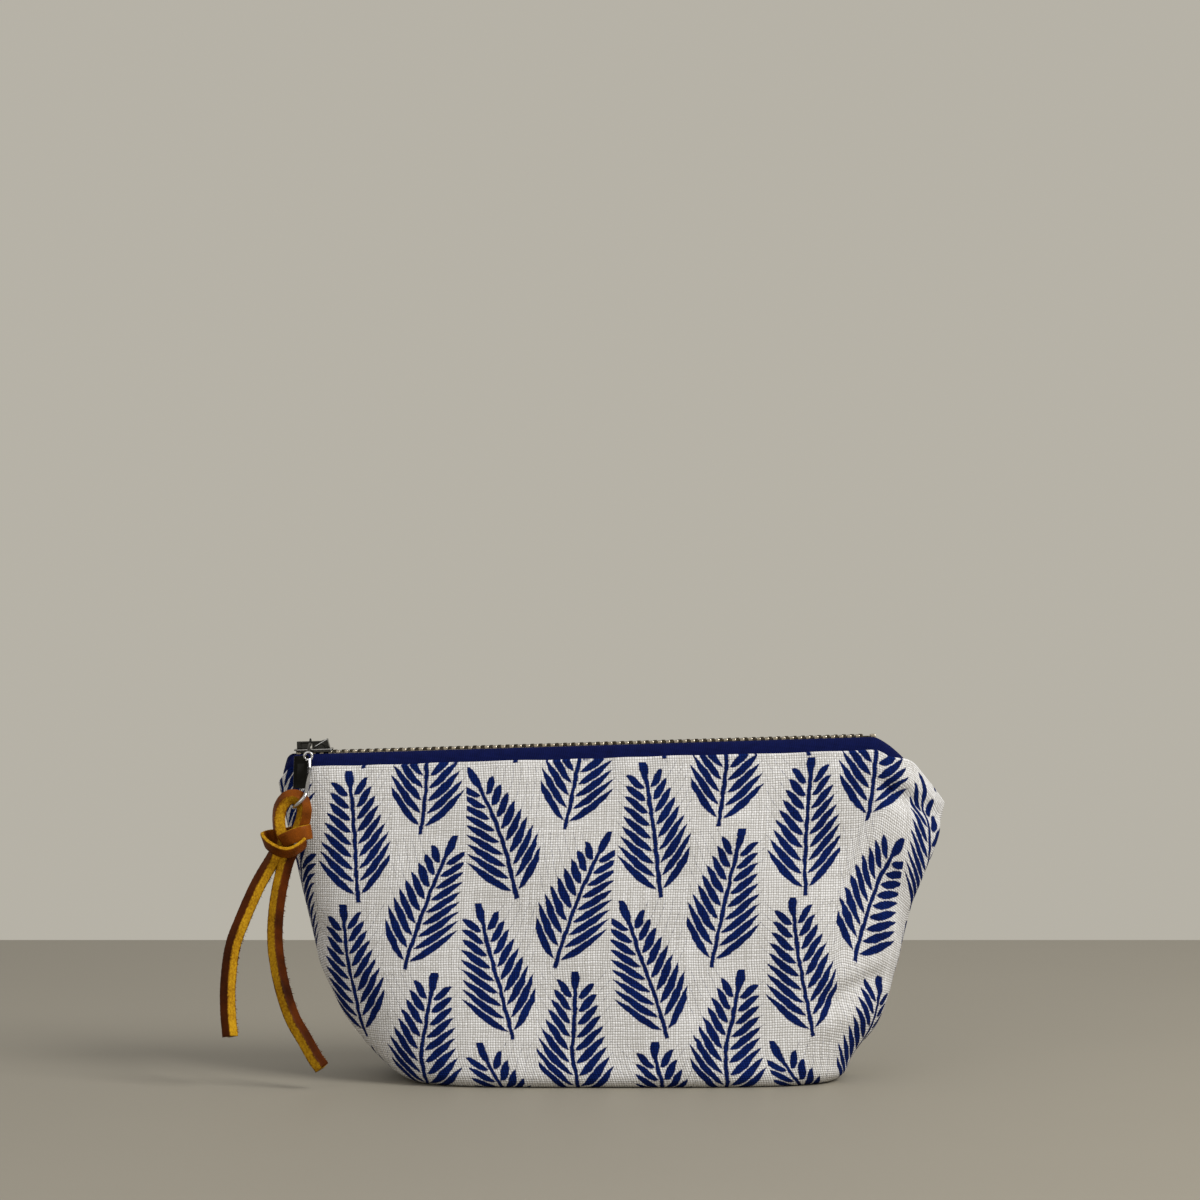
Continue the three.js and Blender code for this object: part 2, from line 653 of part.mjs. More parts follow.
const zip = new THREE.Group();
zip.position.set(0, 0, RIDGE_HEIGHT);
zip.rotation.y = -Math.atan(RIDGE_SLOPE);
pouch.add(zip);
add(zip, 'teeth_front', teethRow(-1), brass);
add(zip, 'teeth_back', teethRow(1), brass);
add(zip, 'top_stop_front', topStop(-1), brass);
add(zip, 'top_stop_back', topStop(1), brass);
add(zip, 'bottom_stop', bottomStop(), brass);
add(zip, 'slider_body', sliderBody(), gunmetal);
add(zip, 'slider_crown', sliderCrown(), gunmetal);
add(zip, 'pull_wire', pullWire(), gunmetal);
add(zip, 'lace_loop', laceRun('loop', 20), leather);
add(zip, 'lace_band', laceBand(), leather);
add(zip, 'lace_tail_left', laceRun('tail_left', 14), leather);
add(zip, 'lace_tail_right', laceRun('tail_right', 16), leather);

export default pouch;
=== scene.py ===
"""Dresses the zippered pouch: printed linen, lining, zip, slider, wire pull and knotted leather lace."""
import math

import bmesh
import bpy
import numpy as np
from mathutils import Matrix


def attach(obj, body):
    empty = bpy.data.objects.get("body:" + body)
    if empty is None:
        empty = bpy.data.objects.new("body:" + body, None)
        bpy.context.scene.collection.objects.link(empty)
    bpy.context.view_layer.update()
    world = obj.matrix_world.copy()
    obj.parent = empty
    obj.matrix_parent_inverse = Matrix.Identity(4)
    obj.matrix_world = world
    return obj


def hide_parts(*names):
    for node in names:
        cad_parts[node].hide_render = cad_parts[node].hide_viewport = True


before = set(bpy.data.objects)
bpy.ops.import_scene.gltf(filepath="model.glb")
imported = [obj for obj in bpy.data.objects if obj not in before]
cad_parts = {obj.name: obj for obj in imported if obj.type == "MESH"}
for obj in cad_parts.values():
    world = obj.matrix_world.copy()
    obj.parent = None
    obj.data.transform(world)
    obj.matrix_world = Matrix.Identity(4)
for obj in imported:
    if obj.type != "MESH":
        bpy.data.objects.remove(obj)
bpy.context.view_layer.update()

MM = 0.001

# Pouch form, in millimetres: as in the part's source, but slimmer at the foot of the right end
RIDGE_HALF = 101.0
RIDGE_HEIGHT = 100.8
RIDGE_SLOPE = 0.03
RIDGE_HALF_DEPTH = 7.0
BASE_HALF_LENGTH = 65.5
BASE_HALF_DEPTH = 32.5
BASE_EDGE_RADIUS = 5.0
FACE_CURVE = 0.9
DROOP_RIGHT = 21.0
DROOP_RIGHT_RUN = 21.0
DROOP_RIGHT_CURVE = 1.45
DROOP_LEFT = 4.5
DROOP_LEFT_RUN = 3.6
DROOP_LEFT_CURVE = 1.3
# Each end's outline: share of the height, then share of the way out from the base's end to the ridge's
LEFT_OUTLINE = [(0, -0.05), (0.02, -0.02), (0.09, 0.18), (0.21, 0.44), (0.37, 0.655), (0.6, 0.8),
                (0.8, 0.915), (0.96, 0.99), (1, 1)]
RIGHT_OUTLINE = [(0, 0.13), (0.075, 0.17), (0.13, 0.25), (0.2, 0.4), (0.31, 0.515), (0.43, 0.605),
                 (0.64, 0.73), (0.75, 0.82), (0.86, 0.92), (0.965, 0.99), (1, 1)]
OUTLINE_SOFTNESS = 0.025
OUTLINE_STEPS = 400
OUTLINE_REACH = 40
BASE_SQUARENESS = 4.0
RIDGE_SQUARENESS = 16.0
SQUARENESS_CURVE = 8.0
PINCH_START = 17.0
PINCH_END = 5.0
PINCH_SHARE = 0.8
PINCH_CURVE = 10.0
SEAM_GAP = 0.3
CLEARANCE = 0.3

# Cloth
SOLID_THICKNESS = 1.0
OUTER_THICKNESS = 0.9
LINING_THICKNESS = 0.6
TAPE_THICKNESS = 0.65
TAPE_SHOWN = 4.8
TAPE_HIDDEN = 7.0
TAPE_RIGHT_END = 90.5
FOLD_TO_LINING = 5.0
CLOSED_LIP = 0.4
CLOSING_EXTRA = 0.02
THREAD_PITCH = 0.75

# Zip
TOOTH_PITCH = 2.5
WORN_FACING = 0.6
TOOTH_HEIGHT = 2.0
BEAD_OUTER = 2.4
STOP_LENGTH = 1.5
SLIDER_X = -90.7
SLIDER_LENGTH = 11.5
HEAD_HALF_WIDTH = 4.2
TAIL_HALF_WIDTH = 3.9
PLATE_THICKNESS = 0.5
WEDGE_LENGTH = 5.0
WEDGE_HALF_WIDTH = 1.0
CROWN_WIDTH = 1.2
CROWN_BAR = 0.7
CROWN_ARCH = 1.25
CROWN_LEG = 1.4
CAM_RISE = 0.6
EYE_X = -0.9
EYE_RADIUS = 0.95
EYE_WIRE_RADIUS = 0.28
RING_SLOT = 0.9
CAM_EDGE_RADIUS = 0.24
LINK_WIRE_RADIUS = 0.42
STEM_RADIUS = 0.8
WIRE_RADIUS = 0.55
STEM_DROP = 8.4
RUNG_DROP = 18.4
RUNG_SHIFT = 3.9
LEG_SHIFT = 0.5
LINK_RADIUS = 1.15
TAB_WIDTH = 4.8
TAB_RISE = 4.8
TAB_LENGTH = 9.4
TAB_INSET = 0.35
TAB_SLANT = 5.0
TAB_THICKNESS = 0.9

# Leather lace
LACE_SIDE = 3.4
LACE_LEAN = 0.22
BAND_THICKNESS = 1.8
BAND_HEIGHT = 7.0
BAND_WIDTH = 11.2
BAND_Z = -13.7
BAND_TILT = 0.12

# Camera, from the photograph
PHOTO_SIZE = 1200
FOCAL_PIXELS = 3285
MM_PER_PIXEL = 0.304
POUCH_PIXEL_X = 612
CAMERA_HEIGHT = 144.0
FLOOR_EDGE_PIXEL_Y = 940

FRONT = -1
BACK = 1
SIDES = ((FRONT, "front"), (BACK, "back"))


def ease(low, high, value):
    share = np.clip((np.asarray(value, float) - low) / (high - low), 0, 1)
    return share * share * (3 - 2 * share)


def mix(low, high, share):
    return low + (high - low) * share


# Pouch surface, in millimetres


def ridge_height(x):
    right = np.clip((x - RIDGE_HALF + DROOP_RIGHT_RUN) / DROOP_RIGHT_RUN, 0, 1)
    left = np.clip((-x - RIDGE_HALF + DROOP_LEFT_RUN) / DROOP_LEFT_RUN, 0, 1)
    droop = DROOP_RIGHT * right**DROOP_RIGHT_CURVE + DROOP_LEFT * left**DROOP_LEFT_CURVE
    return RIDGE_HEIGHT + RIDGE_SLOPE * x - droop


def up_share(rise):
    return np.clip(np.asarray(rise, float) / RIDGE_HEIGHT, 0, 1)


def softened(outline):
    """Evenly spaced shares of an end's outline, with its corners eased."""
    fine = np.linspace(0, 1, OUTLINE_STEPS + 1)
    shares = np.interp(fine, *np.transpose(outline))
    reach = np.arange(-OUTLINE_REACH, OUTLINE_REACH + 1)
    weights = np.exp(-(reach / (OUTLINE_STEPS * OUTLINE_SOFTNESS)) ** 2)
    before = 2 * shares[0] - shares[OUTLINE_REACH:0:-1]
    after = 2 * shares[-1] - shares[-2:-OUTLINE_REACH - 2:-1]
    padded = np.concatenate([before, shares, after])
    return fine, np.convolve(padded, weights / weights.sum(), "valid")


LEFT_SHARES = softened(LEFT_OUTLINE)
RIGHT_SHARES = softened(RIGHT_OUTLINE)


def half_length(rise, end):
    up = up_share(rise)
    share = np.where(np.asarray(end) < 0, np.interp(up, *LEFT_SHARES), np.interp(up, *RIGHT_SHARES))
    return mix(BASE_HALF_LENGTH, RIDGE_HALF, share)


def half_depth(rise, share):
    up = up_share(rise)
    depth = mix(RIDGE_HALF_DEPTH, BASE_HALF_DEPTH, (1 - up) ** FACE_CURVE)
    closing = ease(1 - PINCH_START / RIDGE_HALF, 1 - PINCH_END / RIDGE_HALF, share)
    return depth * (1 - PINCH_SHARE * closing * up**PINCH_CURVE)


def squareness(rise):
    return mix(BASE_SQUARENESS, RIDGE_SQUARENESS, up_share(rise) ** SQUARENESS_CURVE)


def section_shares(along, rise):
    """Shares of the half length and half depth, from -2 at the left seam to 2 at the right one."""
    across = np.clip(along, -1, 1)
    out = np.minimum(1, 2 - np.abs(along))
    power = squareness(rise)
    reach = (np.abs(across) ** power + out**power) ** (-1 / power)
    return across * reach, out * reach


def depth_share(length_share, rise):
    power = squareness(rise)
    return np.maximum(0, 1 - np.abs(length_share) ** power) ** (1 / power)


def wall_points(side, length_share, width_share, rise, inset, spread=1.0):
    length = half_length(rise, length_share) - inset
    depth = half_depth(rise, length_share) - inset
    droop = ridge_height(length_share * RIDGE_HALF) / RIDGE_HEIGHT
    y = SEAM_GAP / 2 + spread * np.maximum(0, depth - SEAM_GAP / 2) * width_share
    return np.stack(np.broadcast_arrays(spread * length * length_share, side * y, rise * droop), axis=-1)


FOLD_RISE = RIDGE_HEIGHT - TAPE_SHOWN
TAPE_INSET = SOLID_THICKNESS + CLEARANCE
CHAIN_LEFT = -(RIDGE_HALF - DROOP_LEFT_RUN)
CHAIN_RIGHT = RIDGE_HALF - DROOP_RIGHT_RUN


def outer_top(length_share):
    closed_from = TAPE_RIGHT_END / RIDGE_HALF + CLOSING_EXTRA
    closing = ease(1 - PINCH_START / RIDGE_HALF, closed_from, length_share)
    return mix(FOLD_RISE, RIDGE_HEIGHT - CLOSED_LIP, closing)


# Mesh helpers

CURVE_STEPS = 24
BEVEL_STEPS = 2


def add_to_scene(name, data):
    piece = bpy.data.objects.new(name, data)
    bpy.context.scene.collection.objects.link(piece)
    return piece


def new_object(name, points, faces, material, uv=None, smooth=True):
    """A mesh piece from points in millimetres, with one UV pair for each point if uv is given."""
    mesh = bpy.data.meshes.new(name)
    mesh.from_pydata((np.asarray(points, float) * MM).tolist(), [], [list(face) for face in faces])
    if uv is not None:
        layer = mesh.uv_layers.new(name="cloth")
        corners = np.empty(len(mesh.loops), dtype=np.int32)
        mesh.loops.foreach_get("vertex_index", corners)
        layer.data.foreach_set("uv", np.asarray(uv, np.float32)[corners].ravel())
    for entry in material if isinstance(material, list) else [material]:
        mesh.materials.append(entry)
    mesh.polygons.foreach_set("use_smooth", [smooth] * len(mesh.polygons))
    mesh.update()
    return add_to_scene(name, mesh)


def add_to_body(piece, body, slot, *nodes):
    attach(piece, body)
    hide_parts(*nodes)


def grid_faces(rows, columns, flip=False):
    faces = []
    for row in range(rows - 1):
        for column in range(columns - 1):
            corner = row * columns + column
            face = (corner, corner + 1, corner + columns + 1, corner + columns)
            faces.append(face[::-1] if flip else face)
    return faces


def lengths_along(path):
    steps = np.linalg.norm(np.diff(path, axis=0), axis=1)
    return np.concatenate([[0], np.cumsum(steps)])


def resample_rows(rows, columns):
    """Each row of points spaced evenly along its own length, and the length from the row's middle."""
    fine = np.linspace(0, 1, columns)
    evened = []
    lengths = []
    for row in rows:
        length = lengths_along(row)
        share = length / length[-1]
        evened.append(np.stack([np.interp(fine, share, row[:, axis]) for axis in range(3)], axis=-1))
        lengths.append((fine - 0.5) * length[-1])
    return np.array(evened), np.array(lengths)


def grid_normals(points, side):
    across = np.gradient(points, axis=1)
    up = np.gradient(points, axis=0)
    normal = np.cross(across, up) * (1 if side == FRONT else -1)
    return normal / np.maximum(1e-9, np.linalg.norm(normal, axis=-1, keepdims=True))


def catmull(points, count):
    """Evenly spaced points on a smooth curve through the given ones."""
    points = np.asarray(points, float)
    ends = np.vstack([2 * points[0] - points[1], points, 2 * points[-1] - points[-2]])
    fine = []
    for index in range(len(points) - 1):
        a, b, c, d = ends[index:index + 4]
        for share in np.linspace(0, 1, CURVE_STEPS, endpoint=False):
            square, cube = share**2, share**3
            fine.append(0.5 * (2 * b + (c - a) * share + (2 * a - 5 * b + 4 * c - d) * square
                               + (3 * b - a - 3 * c + d) * cube))
    fine.append(points[-1])
    return resample_rows([np.array(fine)], count)[0][0]


def sweep(path, section, rolls=0.0, scales=1.0, normal=(0, -1, 0)):
    """Points and faces of a closed tube: section pairs are set along the carried normal and sideways."""
    path = np.asarray(path, float)
    tangents = np.gradient(path, axis=0)
    tangents /= np.linalg.norm(tangents, axis=1, keepdims=True)
    rolls = np.broadcast_to(rolls, len(path))
    scales = np.broadcast_to(scales, len(path))
    carried = np.array(normal, float)
    points = []
    for place, tangent, roll, scale in zip(path, tangents, rolls, scales):
        carried = carried - tangent * np.dot(carried, tangent)
        carried /= np.linalg.norm(carried)
        sideways = np.cross(tangent, carried)
        a = carried * math.cos(roll) + sideways * math.sin(roll)
        b = sideways * math.cos(roll) - carried * math.sin(roll)
        points.extend(place + scale * (a * pair[0] + b * pair[1]) for pair in section)
    count = len(section)
    faces = []
    for ring in range(len(path) - 1):
        for corner in range(count):
            after = (corner + 1) % count
            low = ring * count
            faces.append((low + corner, low + after, low + count + after, low + count + corner))
    faces.append(tuple(reversed(range(count))))
    faces.append(tuple(range(len(points) - count, len(points))))
    return np.array(points), faces


def round_section(radius, sides=14):
    turns = np.linspace(0, 2 * math.pi, sides, endpoint=False)
    return [(radius * math.cos(turn), radius * math.sin(turn)) for turn in turns]


def rounded_box_section(half_a, half_b, radius, steps=2, flats=4):
    """A rounded rectangle, with its flat sides divided."""
    corners = []
    for quarter in range(4):
        sign_a = 1 if quarter in (0, 3) else -1
        sign_b = 1 if quarter in (0, 1) else -1
        for step in range(steps + 1):
            turn = math.pi / 2 * (quarter + step / steps)
            corners.append((sign_a * (half_a - radius) + radius * math.cos(turn),
                            sign_b * (half_b - radius) + radius * math.sin(turn)))
    section = []
    for index, corner in enumerate(corners):
        after = corners[(index + 1) % len(corners)]
        count = flats if index % (steps + 1) == steps else 1
        section.extend((mix(corner[0], after[0], part / count), mix(corner[1], after[1], part / count))
                       for part in range(count))
    return section


def zip_to_frame(points):
    """From the zip's own frame, X along the teeth and Z = 0 at their tops, to the pouch's."""
    points = np.asarray(points, float)
    turn = math.atan(RIDGE_SLOPE)
    x = points[..., 0] * math.cos(turn) - points[..., 2] * math.sin(turn)
    z = points[..., 0] * math.sin(turn) + points[..., 2] * math.cos(turn) + RIDGE_HEIGHT
    return np.stack([x, points[..., 1], z], axis=-1)


def bevelled_prism(outline, low, high, axis, bevel):
    """Points and faces of an outline raised along an axis, with its edges rounded."""
    work = bmesh.new()
    place = {"z": lambda a, b, c: (a, b, c), "y": lambda a, b, c: (a, c, b)}[axis]
    face = work.faces.new([work.verts.new(place(a, b, low)) for a, b in outline])
    raised = bmesh.ops.extrude_face_region(work, geom=[face])["geom"]
    step = place(0, 0, high - low)
    bmesh.ops.translate(work, vec=step, verts=[v for v in raised if isinstance(v, bmesh.types.BMVert)])
    bmesh.ops.recalc_face_normals(work, faces=work.faces)
    bmesh.ops.bevel(work, geom=list(work.edges), offset=bevel, segments=BEVEL_STEPS, profile=0.5,
                    affect="EDGES", clamp_overlap=True)
    work.verts.index_update()
    points = np.array([v.co[:] for v in work.verts])
    faces = [tuple(v.index for v in f.verts) for f in work.faces]
    work.free()
    return points, faces


def gather(parts):
    """Several lots of points and faces as one."""
    points = []
    faces = []
    start = 0
    for part_points, part_faces in parts:
        points.append(part_points)
        faces.extend(tuple(corner + start for corner in face) for face in part_faces)
        start += len(part_points)
    return np.vstack(points), faces


# Shader helpers


# The colour sockets of a mix node
MIX_LOW = 6
MIX_HIGH = 7
MIX_RESULT = 2


def add_node(tree, kind, inputs=(), **settings):
    """A shader node, with each input linked to a wire or socket, or set to a plain value."""
    node = tree.nodes.new("ShaderNode" + kind)
    for key, value in settings.items():
        setattr(node, key, value)
    for key, value in dict(inputs).items():
        source = value.socket if isinstance(value, Wire) else value
        if isinstance(source, bpy.types.NodeSocket):
            tree.links.new(source, node.inputs[key])
        else:
            node.inputs[key].default_value = source
    return node


class Wire:
    """A shader value that adds math nodes as it is used in a formula."""

    def __init__(self, tree, socket):
        self.tree = tree
        self.socket = socket

    def math(self, operation, *others):
        node = add_node(self.tree, "Math", enumerate((self, *others)), operation=operation)
        return Wire(self.tree, node.outputs[0])

    def __add__(self, other):
        return self.math("ADD", other)

    def __sub__(self, other):
        return self.math("SUBTRACT", other)

    def __mul__(self, other):
        return self.math("MULTIPLY", other)

    def __truediv__(self, other):
        return self.math("DIVIDE", other)

    def __abs__(self):
        return self.math("ABSOLUTE")

    def clamp(self, low, high):
        return self.math("MAXIMUM", low).math("MINIMUM", high)

    def ramp(self, low, high):
        limits = {"Value": self, "From Min": low, "From Max": high}
        node = add_node(self.tree, "MapRange", limits, interpolation_type="SMOOTHSTEP")
        return Wire(self.tree, node.outputs["Result"])

    def blend(self, low, high):
        """The socket of a mix of two colours, each given as a tuple or a socket."""
        low, high = [(*value, 1) if isinstance(value, tuple) else value for value in (low, high)]
        inputs = {"Factor": self, MIX_LOW: low, MIX_HIGH: high}
        return add_node(self.tree, "Mix", inputs, data_type="RGBA").outputs[MIX_RESULT]


class Finish:
    """A node material with one principled shader."""

    def __init__(self, name, roughness, metallic=0.0, specular=0.5):
        self.material = bpy.data.materials.new(name)
        self.material.use_nodes = True
        self.tree = self.material.node_tree
        self.inputs = self.tree.nodes["Principled BSDF"].inputs
        self.inputs["Roughness"].default_value = roughness
        self.inputs["Metallic"].default_value = metallic
        self.inputs["Specular IOR Level"].default_value = specular

    def wire(self, kind, output, inputs=(), **settings):
        return Wire(self.tree, add_node(self.tree, kind, inputs, **settings).outputs[output])

    def uv(self):
        pair = add_node(self.tree, "UVMap", uv_map="cloth").outputs["UV"]
        split = add_node(self.tree, "SeparateXYZ", {0: pair})
        return Wire(self.tree, split.outputs["X"]), Wire(self.tree, split.outputs["Y"])

    def place(self):
        return add_node(self.tree, "TexCoord").outputs["Object"]

    def vector(self, x, y, z=0.0):
        return add_node(self.tree, "CombineXYZ", enumerate((x, y, z))).outputs[0]

    def noise(self, vector, scale, detail=2.0, roughness=0.5):
        inputs = {"Vector": vector, "Scale": scale, "Detail": detail, "Roughness": roughness}
        return self.wire("TexNoise", "Fac", inputs)

    def random(self, vector):
        return self.wire("TexWhiteNoise", "Value", {"Vector": vector}, noise_dimensions="2D")

    def colour(self, socket):
        self.tree.links.new(socket, self.inputs["Base Color"])

    def rough(self, value):
        self.tree.links.new(value.socket, self.inputs["Roughness"])

    def bump(self, height, distance, strength=1.0):
        node = add_node(self.tree, "Bump", {"Strength": strength, "Distance": distance, "Height": height})
        self.tree.links.new(node.outputs["Normal"], self.inputs["Normal"])


# Materials: linear colours, and lengths in millimetres along the cloth or the lace

LINEN_LIGHT = (0.84, 0.825, 0.8)
LINEN_DARK = (0.52, 0.5, 0.46)
# Painted shade for the low gaps between the weave's threads
WEAVE_GAP_SHADE = (0.26, 0.24, 0.205)
GRAIN_DARK = (0.07, 0.016, 0.0012)
GRAIN_LIGHT = (0.28, 0.072, 0.005)
AGED_DARK = (0.024, 0.005, 0.0005)
AGED_LIGHT = (0.1, 0.02, 0.0012)
AGED_FROM = 42.0
AGED_RUN = 12.0
CUT_DARK = (0.22, 0.085, 0.003)
CUT_LIGHT = (0.62, 0.34, 0.012)
# Navy tape: the dark colour is partly mottled tone, partly painted shade in the grooves between the ribs
TAPE_DARK_AND_GROOVE_SHADE = (0.0015, 0.0025, 0.018)
TAPE_LIGHT = (0.005, 0.009, 0.07)
INK_DARK = (0.0012, 0.004, 0.036)
INK_LIGHT = (0.004, 0.018, 0.125)

SPRIG_WIDTH = 22.5
SPRIG_HEIGHT = 42.0
LEAF_PITCH = 3.9
LEAF_PAIRS = 9
LEAF_LENGTH = 13.5
LEAF_HALF_WIDTH = 1.35
LEAF_SLOPE = 0.75
LEAF_CURL = 0.03
LEAF_SHRINK = 0.07
LEAF_FROM = 0.9
LEAF_POWER = 0.75
TIP_LENGTH = 9.0
TIP_OVERLAP = 2.0
STEM_HALF_WIDTH = 0.65
SPRIG_WOBBLE = 1.3
SPRIG_BEND = 0.006
LEAN_BY_COLUMN = 0.34
LEAN_BY_CHANCE = 0.2
INK_RAGGED = 0.55
INK_EDGE = 0.16
RIB_PITCH = 0.42
KNIT_PITCH = 0.55
KNIT_SLANT = 0.8


def weave(finish, u, v, pitch):
    """Plain weave: the thread's height, which is low in the gaps between crossings, and its shade."""
    wander = finish.noise(finish.vector(u, v), 0.12, 2.0) - 0.5
    across = u / pitch + wander * 0.9
    up = v / pitch + wander * 0.9
    crossing = (across * math.pi).math("SINE") * (up * math.pi).math("SINE")
    height = abs(crossing).math("POWER", 0.55)
    warp = finish.noise(finish.vector(across, up * 0.05), 1.0, 1.0)
    weft = finish.noise(finish.vector(across * 0.05, up), 1.0, 1.0)
    over = crossing.ramp(-0.1, 0.1)
    shade = warp * over + weft * (over * -1.0 + 1.0)
    return height, shade


def leaf_half_width(share):
    return (share.clamp(0.0, 1.0) * math.pi).math("SINE").math("POWER", LEAF_POWER) * LEAF_HALF_WIDTH


def sprig_ink(finish, u, v):
    """Ink of upright leafy sprigs in a half-drop repeat, each leaning its own way."""
    wobble = finish.noise(finish.vector(u, v), 0.28, 2.0) - 0.5
    u = u + wobble * SPRIG_WOBBLE
    column = (u / SPRIG_WIDTH).math("FLOOR")
    odd = abs(column.math("MODULO", 2.0))
    v = v + odd * (SPRIG_HEIGHT / 2)
    row = (v / SPRIG_HEIGHT).math("FLOOR")
    chance = finish.random(finish.vector(column, row))
    lean = (odd - 0.5) * LEAN_BY_COLUMN + (chance - 0.5) * LEAN_BY_CHANCE
    x = u - (column + 0.5) * SPRIG_WIDTH
    y = v - (row + 0.5) * SPRIG_HEIGHT
    turn_sine = lean.math("SINE")
    turn_cosine = lean.math("COSINE")
    across = x * turn_cosine - y * turn_sine
    up = x * turn_sine + y * turn_cosine + SPRIG_HEIGHT * 0.44
    across = across - (up * up) * ((chance - 0.5) * SPRIG_BEND)
    arm = abs(across)
    step = (up - arm * LEAF_SLOPE - arm * arm * LEAF_CURL) / LEAF_PITCH
    leaf = step.math("ROUND").clamp(0.0, LEAF_PAIRS - 1.0)
    length = leaf * (-LEAF_SHRINK * LEAF_LENGTH) + LEAF_LENGTH
    offset = abs(step - leaf) * (LEAF_PITCH * 0.78)
    leaves = offset - leaf_half_width((arm - LEAF_FROM) / (length * 0.8))
    top = LEAF_PITCH * LEAF_PAIRS
    tip_leaf = arm - leaf_half_width((up - top + TIP_OVERLAP) / TIP_LENGTH)
    in_stem = abs(up - top * 0.47) - top * 0.53
    stem = arm.math("SUBTRACT", STEM_HALF_WIDTH).math("MAXIMUM", in_stem)
    shape = leaves.math("MINIMUM", stem).math("MINIMUM", tip_leaf)
    edge = finish.noise(finish.vector(u, v), 1.6, 2.0) - 0.5
    return (shape + edge * INK_RAGGED).ramp(INK_EDGE, -INK_EDGE)


def make_linen(name, printed):
    finish = Finish(name, 0.95, specular=0.06)
    u, v = finish.uv()
    height, shade = weave(finish, u, v, THREAD_PITCH)
    mottle = finish.noise(finish.vector(u, v), 0.05, 3.0)
    thread = (shade * 1.6 - 0.3 + (mottle - 0.5) * 0.3).ramp(0.0, 1.0)
    cloth = thread.blend(LINEN_DARK, LINEN_LIGHT)
    # The weave's low gaps take a painted shade colour
    cloth = height.ramp(0.1, 0.55).blend(WEAVE_GAP_SHADE, cloth)
    if printed:
        # The ink tone follows the thread tone, and is also painted darker where the thread dips: painted
        # shade in the weave
        ink_tone = (shade * 0.7 + height * 0.3 + (mottle - 0.5) * 0.4).ramp(0.2, 0.95)
        ink = ink_tone.blend(INK_DARK, INK_LIGHT)
        cloth = sprig_ink(finish, u, v).blend(cloth, ink)
    finish.colour(cloth)
    finish.bump(height + shade * 0.5, 0.00022, 0.75)
    return finish.material


def make_tape():
    finish = Finish("navy_tape", 0.9, specular=0.06)
    u, v = finish.uv()
    rib = abs(((v / RIB_PITCH) * math.pi).math("SINE"))
    knit = abs(((u / KNIT_PITCH + v * KNIT_SLANT) * math.pi).math("SINE"))
    height = rib * 0.6 + knit * 0.4
    mottle = finish.noise(finish.vector(u, v), 0.35, 3.0)
    # Darker where the rib and knit height is low: painted shade in the grooves, mixed with mottled tone
    finish.colour((height * 0.7 + mottle * 0.5).ramp(0.2, 1.1).blend(TAPE_DARK_AND_GROOVE_SHADE, TAPE_LIGHT))
    finish.bump(height, 0.00015, 0.7)
    return finish.material


def make_metal(name, dark, light, roughness, wear_scale):
    finish = Finish(name, roughness, metallic=1.0)
    place = finish.place()
    stain = finish.noise(place, wear_scale, 3.0)
    worn = finish.wire("NewGeometry", "Pointiness").ramp(0.49, 0.56)
    finish.colour((stain * 0.8 + worn * 0.7 - 0.2).ramp(0.0, 1.0).blend(dark, light))
    finish.rough((stain - 0.5) * 0.25 + roughness)
    finish.bump(finish.noise(place, wear_scale * 6, 2.0), 0.00004, 0.5)
    return finish.material


def make_leather():
    """Brown grain faces, and golden rough cut edges that darken towards the grain."""
    finish = Finish("lace_leather", 0.65, specular=0.05)
    cut, along = finish.uv()
    place = finish.place()
    fibre = finish.noise(place, 1500.0, 3.0, 0.65)
    tone = finish.noise(place, 110.0, 3.0)
    pores = finish.noise(place, 2400.0, 3.0)
    mottle = (tone * 0.9 + pores * 0.25).ramp(0.3, 0.85)
    grain = mottle.blend(GRAIN_DARK, GRAIN_LIGHT)
    aged = mottle.blend(AGED_DARK, AGED_LIGHT)
    grain = along.ramp(AGED_FROM - AGED_RUN, AGED_FROM).blend(grain, aged)
    golden = (fibre * 0.8 + tone * 0.5).ramp(0.35, 0.95).blend(CUT_DARK, CUT_LIGHT)
    share = (cut + (fibre - 0.5) * 0.6 + (tone - 0.5) * 0.4).ramp(-0.1, 0.42)
    finish.colour(share.blend(grain, golden))
    finish.rough(share * 0.4 + pores * 0.2 + 0.36)
    finish.bump(pores * 0.3 + fibre * share, 0.0002, 0.7)
    return finish.material


printed_linen = make_linen("printed_linen", True)
lining_cloth = make_linen("lining_cloth", False)
navy_tape = make_tape()
brass = make_metal("antique_brass", (0.05, 0.042, 0.03), (0.5, 0.44, 0.34), 0.32, 420.0)
tarnish = make_metal("tarnished_brass", (0.006, 0.005, 0.004), (0.05, 0.04, 0.026), 0.4, 420.0)
gunmetal = make_metal("gunmetal", (0.004, 0.004, 0.0038), (0.06, 0.06, 0.058), 0.24, 260.0)
# Near-black metal of the pull's tab, eye ring and neck: partly a dark metal, partly painted shade on the
# tab's face turned from the key light
dark_metal_and_painted_shade = make_metal("dark_metal_and_painted_shade", (0.002, 0.002, 0.0018), (0.014, 0.014, 0.013), 0.3, 260.0)
polished = make_metal("polished_edge", (0.12, 0.12, 0.118), (0.4, 0.4, 0.4), 0.25, 300.0)
nickel = make_metal("nickel", (0.2, 0.2, 0.205), (0.6, 0.6, 0.62), 0.22, 300.0)
lace_leather = make_leather()


# Cloth panels

PANEL_COLUMNS = 301
BASE_RINGS = 14
EDGE_ROWS = 10
WALL_ROWS = 72
LIP_ROWS = 4
DENSE = np.linspace(-2, 2, 1601)
# Where the swell fades in: up from the base, and out from the end seams
SWELL_FOOT = (1.0, 14.0)
SWELL_SEAM = (0.15, 6.0)
SLOW_WAVE = 0.55
CROSS_WAVE = 0.35
PUCKER = 0.3
PUCKER_REACH = 7.0
BACK_PRINT_SHIFT = (311.0, 57.0)
BACK_CREASE_SCALE = 0.97
BACK_CREASE_SHIFT = -1.0
LINING_STEP_GAP = 1.3
LINING_STEP_RUN = 8.0
LINING_SLACK = 0.2


